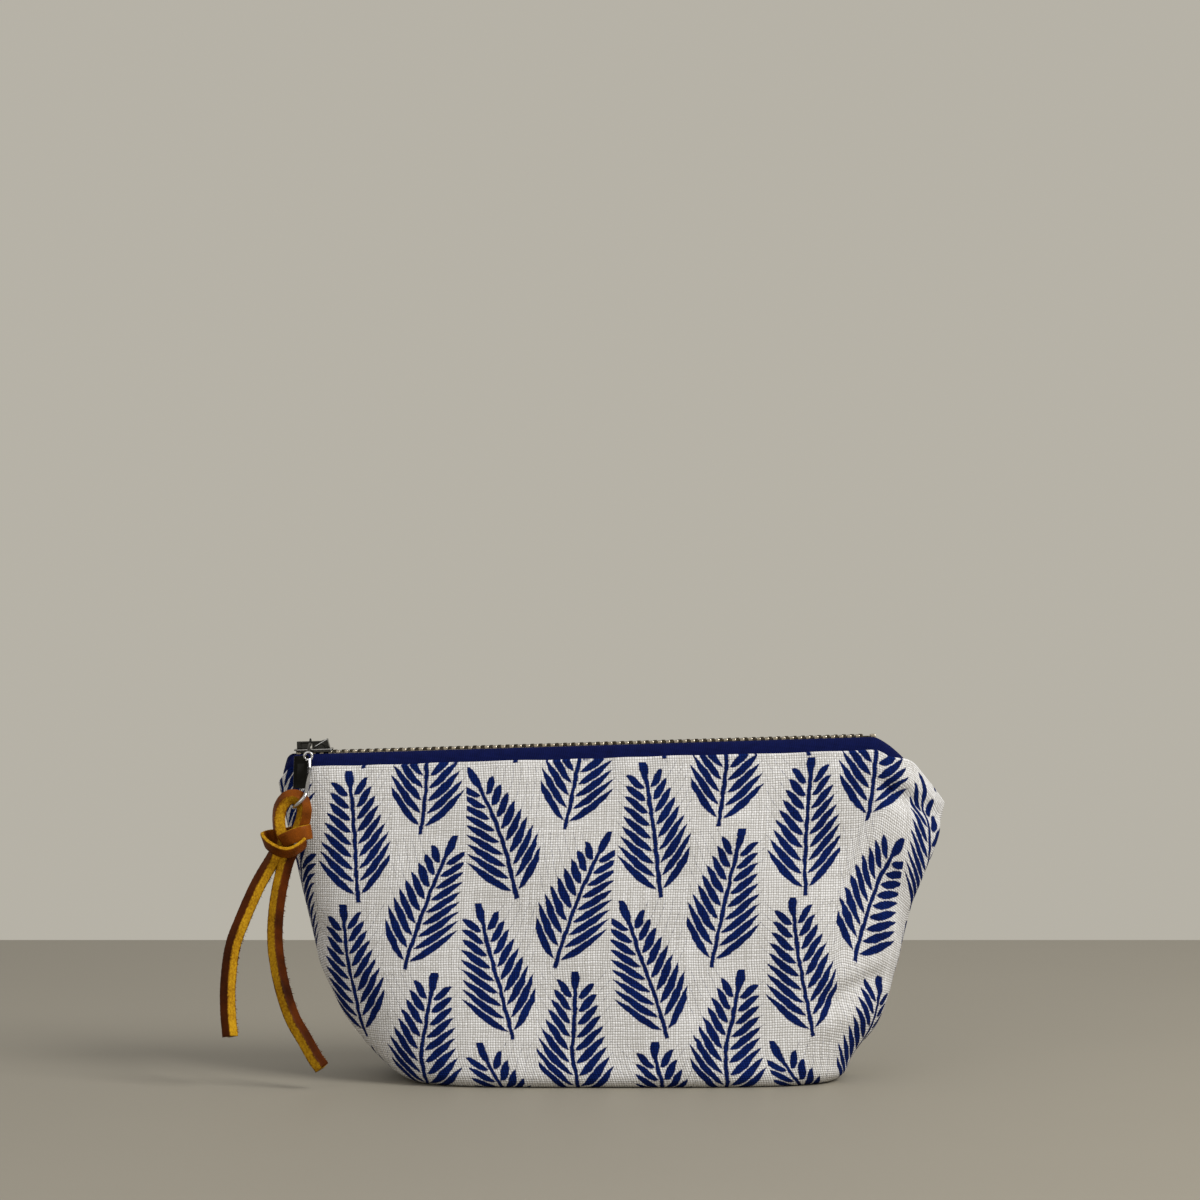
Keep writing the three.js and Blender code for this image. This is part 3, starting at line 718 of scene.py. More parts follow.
def panel_rows(side, inset_at, top_at):
    """Rows of points up one panel, from the base's middle to the top edge, along each level section."""
    floor_inset = float(inset_at(0.0))
    radius = BASE_EDGE_RADIUS - floor_inset
    rows = []
    flat_shares = section_shares(DENSE, 0.0)
    for ring in range(1, BASE_RINGS + 1):
        row = wall_points(side, *flat_shares, 0.0, BASE_EDGE_RADIUS, ring / BASE_RINGS)
        row[:, 2] = floor_inset
        rows.append(row)
    for step in range(1, EDGE_ROWS + 1):
        turn = math.pi / 2 * step / EDGE_ROWS
        rise = BASE_EDGE_RADIUS - radius * math.cos(turn)
        inset = floor_inset + radius * (1 - math.sin(turn))
        rows.append(wall_points(side, *section_shares(DENSE, rise), rise, inset))
    top = top_at(section_shares(DENSE, RIDGE_HEIGHT)[0])
    for step in range(1, WALL_ROWS + 1):
        rise = mix(BASE_EDGE_RADIUS, top, step / WALL_ROWS)
        rows.append(wall_points(side, *section_shares(DENSE, rise), rise, inset_at(rise)))
    return rows


# Soft creases of the front: each from a place to a place on the face, then depth and width
CREASES = [
    ((84.0, 87.0), (99.0, 79.5), -2.6, 2.6),
    ((82.0, 92.0), (97.0, 85.5), 0.8, 2.6),
    ((66.0, 26.0), (78.0, 30.5), -2.2, 3.2),
    ((64.0, 18.0), (73.0, 20.5), 0.7, 3.0),
    ((80.0, 62.0), (90.0, 46.0), -0.8, 4.5),
    ((-88.0, 45.0), (-74.0, 24.0), -0.8, 4.0),
]


def crease_depth(x, z):
    depth = np.zeros_like(x)
    for (x0, z0), (x1, z1), amount, width in CREASES:
        run = np.array([x1 - x0, z1 - z0])
        length = np.linalg.norm(run)
        along = ((x - x0) * run[0] + (z - z0) * run[1]) / length
        aside = ((x - x0) * run[1] - (z - z0) * run[0]) / length
        beyond = np.maximum(0, np.abs(along - length / 2) - length / 2)
        depth += amount * np.exp(-(aside / width) ** 2 - (beyond / (1.5 * width)) ** 2)
    return depth


def soft_swell(x, z, side):
    """Slow waves of soft cloth, a pucker under the zip's seam, and creases at the corners."""
    swell = SLOW_WAVE * np.sin(x / 21.0 + 1.3 * side) * np.sin(z / 17.0 + 0.6)
    swell += CROSS_WAVE * np.sin(x / 9.5 + z / 14.0 + side)
    near_seam = np.exp(-((FOLD_RISE - z) / PUCKER_REACH) ** 2)
    pucker = PUCKER * np.sin(x / 2.9 + 1.2 * np.sin(x / 13.0)) * near_seam
    crease_x = x if side == FRONT else x * BACK_CREASE_SCALE + BACK_CREASE_SHIFT
    return swell + pucker + crease_depth(crease_x, z)


def cloth_panel(name, side, inset_at, thickness, top_at, material, swell):
    outer, lengths = resample_rows(panel_rows(side, inset_at, top_at), PANEL_COLUMNS)
    inner_rows = panel_rows(side, lambda rise: inset_at(rise) + thickness, top_at)
    inner, _ = resample_rows(inner_rows, PANEL_COLUMNS)
    normals = grid_normals(outer, side)
    x, z = outer[..., 0], outer[..., 2]
    fade = ease(*SWELL_FOOT, z) * ease(*SWELL_SEAM, np.abs(outer[..., 1]))
    push = normals * (swell(x, z, side) * fade)[..., None]
    outer = outer + push
    inner = inner + push
    middle = (outer[-1] + inner[-1]) / 2
    lip = []
    for step in range(1, LIP_ROWS + 1):
        turn = math.pi * step / (LIP_ROWS + 1)
        rounded = middle + (outer[-1] - middle) * math.cos(turn)
        rounded[:, 2] += thickness / 2 * math.sin(turn)
        lip.append(rounded)
    layers = np.concatenate([outer, np.array(lip), inner[::-1]])
    rows, columns = layers.shape[:2]
    centre = rows * columns
    points = np.vstack([
        layers.reshape(-1, 3),
        [[0, side * SEAM_GAP / 2, float(inset_at(0.0))]],
        [[0, side * SEAM_GAP / 2, float(inset_at(0.0)) + thickness]],
    ])
    faces = grid_faces(rows, columns)
    last = (rows - 1) * columns
    for column in range(columns - 1):
        faces.append((centre, column + 1, column))
        faces.append((centre + 1, last + column, last + column + 1))
    for end in (0, columns - 1):
        caps = []
        for row in range(len(outer) - 1):
            here = row * columns + end
            far = last - row * columns + end
            caps.append((here, here + columns, far - columns, far))
        caps.append(tuple(row * columns + end for row in range(len(outer) - 1, len(outer) + LIP_ROWS + 1)))
        caps.append((centre, end, last + end, centre + 1))
        faces += caps if end == 0 else [face[::-1] for face in caps]
    if side == BACK:
        faces = [face[::-1] for face in faces]
    heights = lengths_along(outer[:, columns // 2])
    across = np.where(np.arange(len(outer))[:, None] < BASE_RINGS, outer[..., 0], lengths)
    cloth_uv = np.stack(np.broadcast_arrays(across, heights[:, None]), axis=-1)
    lip_uv = np.repeat(cloth_uv[-1][None], len(lip), axis=0)
    uv = np.concatenate([cloth_uv, lip_uv, cloth_uv[::-1]]).reshape(-1, 2)
    uv = np.vstack([uv, [[0, 0]], [[0, 0]]])
    if side == BACK:
        uv = uv * [-1, 1] + BACK_PRINT_SHIFT
    return new_object(name, points, faces, material, uv)


def flat_inset(_rise):
    return 0.0


def lining_inset(rise):
    foot = FOLD_RISE - TAPE_HIDDEN - LINING_STEP_GAP
    stepping = ease(foot - LINING_STEP_RUN, foot, rise)
    return mix(TAPE_INSET, TAPE_INSET + TAPE_THICKNESS + CLEARANCE, stepping)


def lining_top(length_share):
    return np.full_like(length_share, FOLD_RISE - FOLD_TO_LINING)


def lining_swell(x, z, side):
    return np.minimum(0, soft_swell(x, z, side)) - LINING_SLACK


for side, word in SIDES:
    linen = cloth_panel(f"linen_{word}", side, flat_inset, OUTER_THICKNESS, outer_top, printed_linen,
                        soft_swell)
    add_to_body(linen, "pouch", "printed_linen", f"outer_{word}_panel")
    lining = cloth_panel(f"lining_{word}", side, lining_inset, LINING_THICKNESS, lining_top, lining_cloth,
                         lining_swell)
    add_to_body(lining, "pouch", "lining_cloth", f"lining_{word}_panel")


# Zip tapes

TAPE_STATIONS = 260
TAPE_SAMPLES = 1200
TAPE_WALL_STEPS = 8
TAPE_LEFT_ALONG = -1.97
TAPE_TURN = 2.2
NOSE_INSET = 2.25
CLOSING_RIGHT = 2.5
CLOSING_LEFT = 1.5


def tape_section_rows(side):
    """Rows of points along the tape, one row for each place on its section, outer face first."""
    right_share = TAPE_RIGHT_END / RIDGE_HALF
    right_along = right_share / depth_share(right_share, RIDGE_HEIGHT)
    along = np.linspace(TAPE_LEFT_ALONG, right_along, TAPE_SAMPLES)
    top_shares = section_shares(along, RIDGE_HEIGHT)
    x = top_shares[0] * RIDGE_HALF
    nose = np.maximum(0, -along - 1)
    face_shares = section_shares(np.maximum(-1, along), RIDGE_HEIGHT)
    face_x = wall_points(side, *face_shares, RIDGE_HEIGHT, TAPE_INSET)[:, 0]
    edge_x = mix(face_x, NOSE_INSET - RIDGE_HALF, nose)
    closing_right = ease(CHAIN_RIGHT, CHAIN_RIGHT + CLOSING_RIGHT, edge_x)
    closing_left = ease(-CHAIN_LEFT, -CHAIN_LEFT + CLOSING_LEFT, -edge_x)
    edge = mix(BEAD_OUTER + CLEARANCE, SEAM_GAP / 2, np.maximum(closing_right, closing_left))
    edge_z = ridge_height(np.where(nose > 0, edge_x, x))
    drop = (TOOTH_HEIGHT - TAPE_THICKNESS) / 2
    rows = []
    for layer, inset in (("outer", TAPE_INSET), ("inner", TAPE_INSET + TAPE_THICKNESS)):
        layer_rows = []
        for step in range(TAPE_WALL_STEPS + 1):
            rise = mix(FOLD_RISE - TAPE_HIDDEN, RIDGE_HEIGHT - TAPE_TURN, step / TAPE_WALL_STEPS)
            layer_rows.append(wall_points(side, *section_shares(along, rise), rise, inset))
        corner = wall_points(side, *top_shares, RIDGE_HEIGHT, inset)
        sink = drop + (TAPE_THICKNESS if layer == "inner" else 0)
        corner[:, 2] = ridge_height(x) - sink
        below = layer_rows[-1]
        edge_y = side * np.minimum(edge, np.abs(corner[:, 1]))
        inner_edge = np.stack([edge_x, edge_y, edge_z - sink], axis=-1)
        for turn in np.linspace(0.15, 1, 5):
            low = mix(below, corner, turn)
            high = mix(corner, inner_edge, turn * 0.5)
            layer_rows.append(mix(low, high, turn))
        for share in (0.7, 0.85, 1.0):
            layer_rows.append(mix(corner, inner_edge, share))
        rows.extend(layer_rows if layer == "outer" else layer_rows[::-1])
    return rows


def zip_tape(name, side):
    rows, lengths = resample_rows(tape_section_rows(side), TAPE_STATIONS)
    rows = np.concatenate([rows, rows[:1]])
    count, columns = rows.shape[:2]
    faces = grid_faces(count, columns, flip=side == BACK)
    left_cap = tuple(row * columns for row in range(count - 1))
    right_cap = tuple((row + 1) * columns - 1 for row in range(count - 1))
    faces += [left_cap, right_cap[::-1]] if side == FRONT else [left_cap[::-1], right_cap]
    last = (count - 1) * columns
    faces = [tuple(corner - last if corner >= last else corner for corner in face) for face in faces]
    points = rows[:-1].reshape(-1, 3)
    heights = lengths_along(rows[:-1, columns // 2])
    uv = np.stack(np.broadcast_arrays(lengths, heights[:, None]), axis=-1).reshape(-1, 2)
    return new_object(name, points, faces, navy_tape, uv)


for side, word in SIDES:
    tape = zip_tape(f"tape_{word}", side)
    add_to_body(tape, "pouch", "zip_tape", f"zip_tape_{word}")


# Zip chain

SLIDER_LEFT = SLIDER_X - SLIDER_LENGTH / 2
SLIDER_RIGHT = SLIDER_X + SLIDER_LENGTH / 2
WEDGE_RIGHT = SLIDER_LEFT + WEDGE_LENGTH
BOTTOM_STOP_LEFT = CHAIN_RIGHT - STOP_LENGTH
TEETH_LEFT = WEDGE_RIGHT + CLEARANCE
TEETH_RIGHT = BOTTOM_STOP_LEFT - CLEARANCE
# The blocks of a back tooth about x = 0: its low corner, its high corner and its bevel
TOOTH_BLOCKS = [
    ((-0.68, 1.1, -2.15), (0.68, 3.3, 0.15), 0.3),
    ((-0.5, -0.95, -1.8), (0.5, 1.6, -0.25), 0.22),
    ((-0.62, -0.75, -1.45), (0.62, -0.1, -0.55), 0.2),
]
BEAD_Y = 2.0
BEAD_Z = -1.0
BEAD_RADIUS = 0.55
STOP_BEVEL = 0.3
STOP_RISE = 0.1


def block(low, high, bevel):
    outline = [(low[0], low[1]), (high[0], low[1]), (high[0], high[1]), (low[0], high[1])]
    return bevelled_prism(outline, low[2], high[2], "z", bevel)


def zip_piece(name, parts, material, smooth=False):
    points, faces = gather(parts)
    return new_object(name, zip_to_frame(points), faces, material, smooth=smooth)


def paint(piece, is_second):
    """Gives the piece's second material to the faces that the test picks."""
    for polygon in piece.data.polygons:
        polygon.material_index = int(is_second(polygon))
    return piece


def tooth(side):
    """One tooth: legs clamped on the bead, a narrow head past the middle, and its nib."""
    points, faces = gather([block(*entry) for entry in TOOTH_BLOCKS])
    if side == FRONT:
        points = points * [1, -1, 1]
        faces = [face[::-1] for face in faces]
    return points, faces


def teeth_row(name, side):
    one, faces = tooth(side)
    offset = TOOTH_PITCH / 4 if side == FRONT else TOOTH_PITCH * 3 / 4
    count = int((TEETH_RIGHT - TEETH_LEFT) / TOOTH_PITCH)
    parts = [(one + [TEETH_LEFT + offset + index * TOOTH_PITCH, 0, 0], faces) for index in range(count)]
    bead = np.linspace((TEETH_LEFT, side * BEAD_Y, BEAD_Z), (TEETH_RIGHT, side * BEAD_Y, BEAD_Z), 3)
    parts.append(sweep(bead, round_section(BEAD_RADIUS, 10)))
    piece = zip_piece(name, parts, [tarnish, brass])
    return paint(piece, lambda face: side * face.normal.y > WORN_FACING)


def stop_block(name, low, high):
    return zip_piece(name, [block(low, high, STOP_BEVEL)], brass)


for side, word in SIDES:
    add_to_body(teeth_row(f"tooth_row_{word}", side), "pouch", "zip_teeth", f"teeth_{word}")
    left = SLIDER_LEFT + STOP_LENGTH / 2
    edges = sorted((side * (WEDGE_HALF_WIDTH + CLEARANCE), side * BEAD_OUTER))
    stop = stop_block(f"stop_top_{word}", (left, edges[0], -TOOTH_HEIGHT), (left + STOP_LENGTH, edges[1], 0))
    add_to_body(stop, "pouch", "zip_teeth", f"top_stop_{word}")

end_stop = stop_block("stop_bottom", (BOTTOM_STOP_LEFT, -BEAD_OUTER, -TOOTH_HEIGHT),
                      (CHAIN_RIGHT, BEAD_OUTER, STOP_RISE))
add_to_body(end_stop, "pouch", "zip_teeth", "bottom_stop")


# Slider and pull

PLATE_BOTTOM = CLEARANCE
PLATE_TOP = PLATE_BOTTOM + PLATE_THICKNESS
LOWER_PLATE_TOP = -TOOTH_HEIGHT - CLEARANCE
LOWER_PLATE_BOTTOM = LOWER_PLATE_TOP - PLATE_THICKNESS
CROWN_BOTTOM = PLATE_TOP
BAR_BOTTOM = PLATE_TOP + CLEARANCE + CROWN_ARCH
BAR_TOP = BAR_BOTTOM + CROWN_BAR
EYE_Z = (BAR_BOTTOM + BAR_TOP) / 2
EYE_PLACE_X = SLIDER_X + EYE_X
PLATE_BEVEL = 0.22
WEDGE_BITE = 0.3
LIP_THICKNESS = 0.6
LIP_BITE = 0.35
LIP_BEVEL = 0.15
UPPER_LIP_BOTTOM = -0.375
LOWER_LIP_TOP = -1.625
CAM_HALF_WIDTH = 1.7
CHEEK_INSET = 0.15
OVERLAP = 0.1


def plate_outline():
    shoulder = SLIDER_X - SLIDER_LENGTH / 8
    nose = HEAD_HALF_WIDTH * 0.7
    front = [(SLIDER_LEFT, -nose), (SLIDER_LEFT + HEAD_HALF_WIDTH - nose, -HEAD_HALF_WIDTH),
             (shoulder, -HEAD_HALF_WIDTH), (SLIDER_RIGHT, -TAIL_HALF_WIDTH)]
    return front + [(x, -y) for x, y in reversed(front)]


def slider_shell():
    wedge_middle = mix(SLIDER_LEFT, WEDGE_RIGHT, 0.4)
    wedge = [(SLIDER_LEFT + CLEARANCE, 0), (wedge_middle, -WEDGE_HALF_WIDTH), (WEDGE_RIGHT, 0),
             (wedge_middle, WEDGE_HALF_WIDTH)]
    lip_left = SLIDER_X - SLIDER_LENGTH / 3
    parts = [
        bevelled_prism(plate_outline(), PLATE_BOTTOM, PLATE_TOP, "z", PLATE_BEVEL),
        bevelled_prism(plate_outline(), LOWER_PLATE_BOTTOM, LOWER_PLATE_TOP, "z", PLATE_BEVEL),
        bevelled_prism(wedge, LOWER_PLATE_TOP - WEDGE_BITE, PLATE_BOTTOM + WEDGE_BITE, "z", 0.1),
    ]
    lips = [(UPPER_LIP_BOTTOM, PLATE_BOTTOM + LIP_BITE), (LOWER_PLATE_TOP - LIP_BITE, LOWER_LIP_TOP)]
    for side in (FRONT, BACK):
        low, high = sorted((side * TAIL_HALF_WIDTH, side * (TAIL_HALF_WIDTH - LIP_THICKNESS)))
        for bottom, top in lips:
            parts.append(block((lip_left, low, bottom), (SLIDER_RIGHT - OVERLAP, high, top), LIP_BEVEL))
    piece = zip_piece("slider_shell", parts, [gunmetal, polished])
    rim_bottom = float(zip_to_frame([SLIDER_X, 0, PLATE_BOTTOM])[2]) * MM
    return paint(piece, lambda face: abs(face.normal.y) > WORN_FACING and face.center.z > rim_bottom)


def slider_crown():
    left = SLIDER_LEFT + CROWN_LEG / 2
    right = SLIDER_RIGHT - CROWN_LEG / 2
    outline = [
        (left, CROWN_BOTTOM), (left + CROWN_LEG, CROWN_BOTTOM), (left + CROWN_LEG, BAR_BOTTOM),
        (right - 2 * CROWN_LEG, BAR_BOTTOM), (right - CROWN_LEG, CROWN_BOTTOM), (right, CROWN_BOTTOM),
        (right - CROWN_LEG / 2, BAR_TOP + CAM_RISE), (right - 2 * CROWN_LEG, BAR_TOP), (left, BAR_TOP),
    ]
    half = CROWN_WIDTH / 2
    bridge = bevelled_prism(outline, -half, half, "y", 0.16)
    flap = [(right - 2.1 * CROWN_LEG, BAR_BOTTOM - OVERLAP), (right - OVERLAP, CROWN_BOTTOM + 0.2),
            (right - CROWN_LEG / 2, BAR_TOP + CAM_RISE + OVERLAP)]
    cam = bevelled_prism(flap, -CAM_HALF_WIDTH, CAM_HALF_WIDTH, "y", 0.14)
    cheek = half - CHEEK_INSET
    cheek_ends = [(left + CROWN_LEG - OVERLAP, EYE_PLACE_X - RING_SLOT / 2),
                  (EYE_PLACE_X + RING_SLOT / 2, right - CROWN_LEG + OVERLAP)]
    parts = []
    for side in (FRONT, BACK):
        edge = np.linspace((right - CROWN_LEG / 2, side * 1.6, BAR_TOP + CAM_RISE - OVERLAP),
                           (EYE_PLACE_X + 1.3, side * 1.0, PLATE_TOP + 0.5), 3)
        parts.append(sweep(edge, round_section(CAM_EDGE_RADIUS, 8)))
    edge_faces = sum(len(part_faces) for _, part_faces in parts)
    parts += [bridge, cam]
    for low, high in cheek_ends:
        parts.append(block((low, -cheek, CROWN_BOTTOM), (high, cheek, BAR_BOTTOM + OVERLAP), 0.1))
    piece = zip_piece("crown_bridge", parts, [gunmetal, polished])
    return paint(piece, lambda face: face.index < edge_faces)


add_to_body(slider_shell(), "slider", "slider_metal", "slider_body")
add_to_body(slider_crown(), "slider", "slider_metal", "slider_crown")


def on_face(x, z, proud):
    return (x, -float(half_depth(RIDGE_HEIGHT + z, 0.0)) - proud, z)


CLOTH_GAP = 0.5 + 2 * CLEARANCE
LEG_SPREAD = LACE_SIDE + 1.0 + 2 * CLEARANCE
LEG_X = EYE_PLACE_X + LEG_SHIFT
RUNG_X = EYE_PLACE_X - RUNG_SHIFT
RUNG_Z = EYE_Z - RUNG_DROP
BAND_HALF_DEPTH = LACE_SIDE / 2 + CLEARANCE + BAND_THICKNESS
LACE_Y = -float(half_depth(RIDGE_HEIGHT + RUNG_Z + BAND_Z, 0.0)) - 2 * CLEARANCE - BAND_HALF_DEPTH
RUNG_BACK = LACE_Y + LEG_SPREAD / 2
RUNG_FRONT = RUNG_BACK - LEG_SPREAD
STEM_TAPER = (1.4, 0.75)
LINK_LIFT = 0.4
RING_STEPS = 48
TAB_BEVEL = 0.25


def pull_loop():
    stem_z = EYE_Z - STEM_DROP
    foot = on_face(LEG_X, stem_z, CLOTH_GAP + STEM_RADIUS)
    edge_y = -HEAD_HALF_WIDTH - STEM_RADIUS - CLEARANCE
    link_z = EYE_Z - STEM_DROP / 2 + LINK_LIFT
    link = on_face(EYE_PLACE_X, link_z, CLOTH_GAP + STEM_RADIUS)
    neck = catmull([
        (EYE_PLACE_X, -EYE_RADIUS, EYE_Z - EYE_WIRE_RADIUS),
        (EYE_PLACE_X, edge_y / 2, PLATE_TOP + STEM_RADIUS + 2 * CLEARANCE),
        (EYE_PLACE_X, edge_y, PLATE_TOP + STEM_RADIUS),
        (link[0], link[1], link_z + LINK_RADIUS),
    ], 30)
    stem = catmull([
        (link[0], link[1], link_z - LINK_RADIUS),
        (mix(link[0], LEG_X, 0.5), mix(link[1], foot[1], 0.6), mix(link_z - LINK_RADIUS, stem_z, 0.5)),
        foot,
    ], 30)
    taper = mix(*STEM_TAPER, np.linspace(0, 1, len(stem)))
    bend_z = mix(stem_z, RUNG_Z, 0.4)
    loop = catmull([
        (foot[0], foot[1], stem_z + STEM_RADIUS),
        (LEG_X, mix(foot[1], RUNG_FRONT, 0.6), mix(stem_z, RUNG_Z, 0.25)),
        (mix(LEG_X, RUNG_X, 0.15), RUNG_FRONT, mix(stem_z, RUNG_Z, 0.65)),
        (mix(LEG_X, RUNG_X, 0.75), RUNG_FRONT, RUNG_Z + 0.75),
        (RUNG_X, mix(RUNG_FRONT, RUNG_BACK, 0.5), RUNG_Z),
        (mix(RUNG_X, LEG_X, 0.1), RUNG_BACK, mix(stem_z, RUNG_Z, 0.93)),
        (mix(LEG_X, RUNG_X, 0.5), on_face(RUNG_X, bend_z, CLOTH_GAP)[1], bend_z),
        (foot[0], foot[1], stem_z + STEM_RADIUS / 2),
    ], 120)
    turns = np.linspace(0, 2 * math.pi, RING_STEPS + 1)
    circle = np.stack([np.cos(turns), np.zeros_like(turns), np.sin(turns)], axis=-1)
    eye_ring = np.array([EYE_PLACE_X, 0, EYE_Z]) + EYE_RADIUS * circle[:, [1, 0, 2]]
    link_ring = np.array(link) + LINK_RADIUS * circle
    tab_top = stem_z + TAB_RISE
    tab, tab_faces = block((LEG_X - TAB_WIDTH, 0, tab_top - TAB_LENGTH),
                           (LEG_X - TAB_INSET, TAB_THICKNESS, tab_top), TAB_BEVEL)
    down = (tab_top - tab[:, 2]) / TAB_LENGTH
    right = 1 - (LEG_X - tab[:, 0]) / TAB_WIDTH
    leg = np.vstack([[(link[0], link[1], tab_top)], stem, loop[:len(loop) // 2]])
    leg = leg[np.argsort(leg[:, 2])]
    tab[:, 1] += np.interp(tab[:, 2], leg[:, 2], leg[:, 1]) + TAB_SLANT * down * (1 - right)
    parts = [
        (tab, tab_faces),
        sweep(eye_ring, round_section(EYE_WIRE_RADIUS), normal=(1, 0, 0)),
        sweep(neck, round_section(LINK_WIRE_RADIUS), normal=(1, 0, 0)),
        sweep(stem, round_section(STEM_RADIUS), scales=taper, normal=(1, 0, 0)),
        sweep(loop, round_section(WIRE_RADIUS), normal=(1, 0, 0)),
        sweep(link_ring, round_section(LINK_WIRE_RADIUS)),
    ]
    # The tab, eye ring and neck take the near-black metal, which is partly painted shade
    piece = zip_piece("pull_loop", parts, [nickel, dark_metal_and_painted_shade], smooth=True)
    painted_shade_faces = sum(len(part_faces) for _, part_faces in parts[:3])
    return paint(piece, lambda face: face.index < painted_shade_faces)


add_to_body(pull_loop(), "pull", "slider_metal", "pull_wire")


# Leather lace: its points are those of the part's source, across and up from the pull's rung

LOOP_POINTS = [(-3.9, -10.2), (-4.2, -7.2), (-4.5, -3.6), (-3.9, -0.1), (-2.1, 2.4), (0.3, 3.1), (2.4, 1.9),
               (3.2, -0.8), (2.7, -3.8), (1.6, -6.8), (0.6, -10)]
LEFT_POINTS = [(-4.2, -11.2), (-6.7, -15.4), (-11.2, -22.9), (-15.5, -32.1), (-18.7, -40.4), (-20.1, -50.5),
               (-20.2, -58.5), (-19.6, -66.3)]
RIGHT_POINTS = [(0, -11.2), (-2.4, -15.5), (-4.5, -23), (-5.8, -31.2), (-6.1, -40.4), (-4.5, -50.9),
                (-1.4, -61), (2.3, -67.7), (5.5, -73.4), (7.4, -76)]
# The knot's strip: across, how far behind the lace's middle plane, and up from the rung
WRAP_POINTS = [(-3.6, -2.4, -10.0), (-1.2, -3.3, -8.8), (1.8, -3.5, -7.8), (3.9, -2.4, -7.4),
               (4.7, 0.0, -7.4), (3.4, 2.2, -7.7), (0.2, 2.6, -8.0), (-4.8, 2.6, -8.6), (-7.9, 1.6, -8.9),
               (-8.9, -0.8, -9.3), (-7.4, -3.8, -10.8), (-4.2, -5.2, -12.6), (-1.2, -5.2, -13.0),
               (1.5, -4.2, -11.9), (3.4, -2.6, -10.4)]
LEAN_TOP = BAND_Z - BAND_TILT * BAND_WIDTH
HALF_LACE = LACE_SIDE / 2
WRAP_HALF_THICKNESS = 0.6
WRAP_HALF_WIDTH = 2.15
LACE_EDGE_RADIUS = 0.22
GRAIN_ROUGHNESS = 0.015
CUT_ROUGHNESS = 0.06
FIBRE_WIDTH = (0.07, 0.16)
FIBRE_REACH = (0.15, 0.75)
FIBRE_LEAN = (-0.3, 0.7)
FIBRE_ROOT = 0.15
# How far the loop and left tail are turned about their own line, at shares of their length
ROLL_PLACES = [0, 0.1, 0.17, 0.26, 0.34, 0.45, 1]
ROLL_DEGREES = [35, 38, 55, 75, 72, 48, 48]


def lace_place(across, up, behind=0.0):
    lean = LACE_LEAN * max(0, LEAN_TOP - up)
    return (RUNG_X + across, LACE_Y + behind - lean, RUNG_Z + up)


def path_length(path):
    return float(np.linalg.norm(np.diff(path, axis=0), axis=1).sum()) * MM


def fibres(points, path, count, first_share):
    """Thin frayed spikes along a strip's right-hand edge, and the index of the point each one grows from."""
    chance = np.random.default_rng(11)
    rows = points.reshape(len(path), -1, 3)
    parts = []
    roots = []
    for station in chance.integers(int(len(path) * first_share), len(path) - 2, count):
        corner = int(np.argmax(rows[station, :, 0]))
        root = rows[station, corner]
        out = root - path[station]
        out = out / np.linalg.norm(out)
        along = path[station + 1] - path[station]
        along = along / np.linalg.norm(along)
        aside = np.cross(out, along)
        width = chance.uniform(*FIBRE_WIDTH)
        tip = root + out * chance.uniform(*FIBRE_REACH) + along * chance.uniform(*FIBRE_LEAN)
        foot = root - out * FIBRE_ROOT
        spike = np.array([foot + along * width, foot - along * width + aside * width,
                          foot - along * width - aside * width, tip])
        parts.append((spike, [(0, 2, 1), (0, 1, 3), (1, 2, 3), (2, 0, 3)]))
        roots += [station * rows.shape[1] + corner] * len(spike)
    return parts, roots


def lace_strip(name, path, half_a, half_b, rolls, start=0.0, fibre_count=0, first_share=0.0):
    """A leather strip, whose UV tells the grain faces (-1) from the cut edges (1), and the way along it."""
    section = rounded_box_section(half_a, half_b, LACE_EDGE_RADIUS)
    points, faces = sweep(path, section, rolls, normal=(0, -1, 0))
    cut = np.array([abs(b) / half_b - abs(a) / half_a for a, b in section])
    shake = np.random.default_rng(7).normal(0, 1, points.shape)
    cuts = np.tile(cut, len(path))
    rough = mix(GRAIN_ROUGHNESS, CUT_ROUGHNESS, ease(-0.3, 0.6, cuts))
    along = start + np.repeat(np.arange(len(path)) * path_length(path) / MM / (len(path) - 1), len(section))
    uv = np.stack([cuts, along], axis=-1)
    points = points + shake * rough[:, None]
    frayed, roots = fibres(points, path, fibre_count, first_share)
    points, faces = gather([(points, faces)] + frayed)
    uv = np.concatenate([uv, uv[roots]]) if roots else uv
    return new_object(name, zip_to_frame(points), faces, lace_leather, uv)


left_points = [lace_place(*point) for point in LOOP_POINTS[::-1]]
left_points += [lace_place(*point) for point in LEFT_POINTS[1:]]
left_path = catmull(left_points, 190)
left_rolls = np.radians(np.interp(np.linspace(0, 1, len(left_path)), ROLL_PLACES, ROLL_DEGREES))
right_path = catmull([lace_place(*point) for point in RIGHT_POINTS], 140)
wrap_path = catmull([lace_place(across, up, behind) for across, behind, up in WRAP_POINTS], 150)

lace_left = lace_strip("lace_left", left_path, HALF_LACE, HALF_LACE, left_rolls,
                       fibre_count=70, first_share=0.38)
lace_right = lace_strip("lace_right", right_path, HALF_LACE, HALF_LACE, np.radians(-45),
                        start=AGED_FROM, fibre_count=90, first_share=0.12)
lace_wrap = lace_strip("lace_wrap", wrap_path, WRAP_HALF_THICKNESS, WRAP_HALF_WIDTH, rolls=0.0,
                       start=-2 * AGED_FROM)

add_to_body(lace_left, "pull", "lace_leather", "lace_loop", "lace_tail_left")
add_to_body(lace_right, "pull", "lace_leather", "lace_tail_right")
add_to_body(lace_wrap, "pull", "lace_leather", "lace_band")

rung_place = zip_to_frame([RUNG_X, LACE_Y, RUNG_Z]) * MM
knot_place = zip_to_frame([RUNG_X, LACE_Y, RUNG_Z + BAND_Z + BAND_HEIGHT / 2]) * MM
(zip_to_frame(left_path) * MM).tolist()
(zip_to_frame(right_path) * MM).tolist()


# Stage, light and camera, in metres

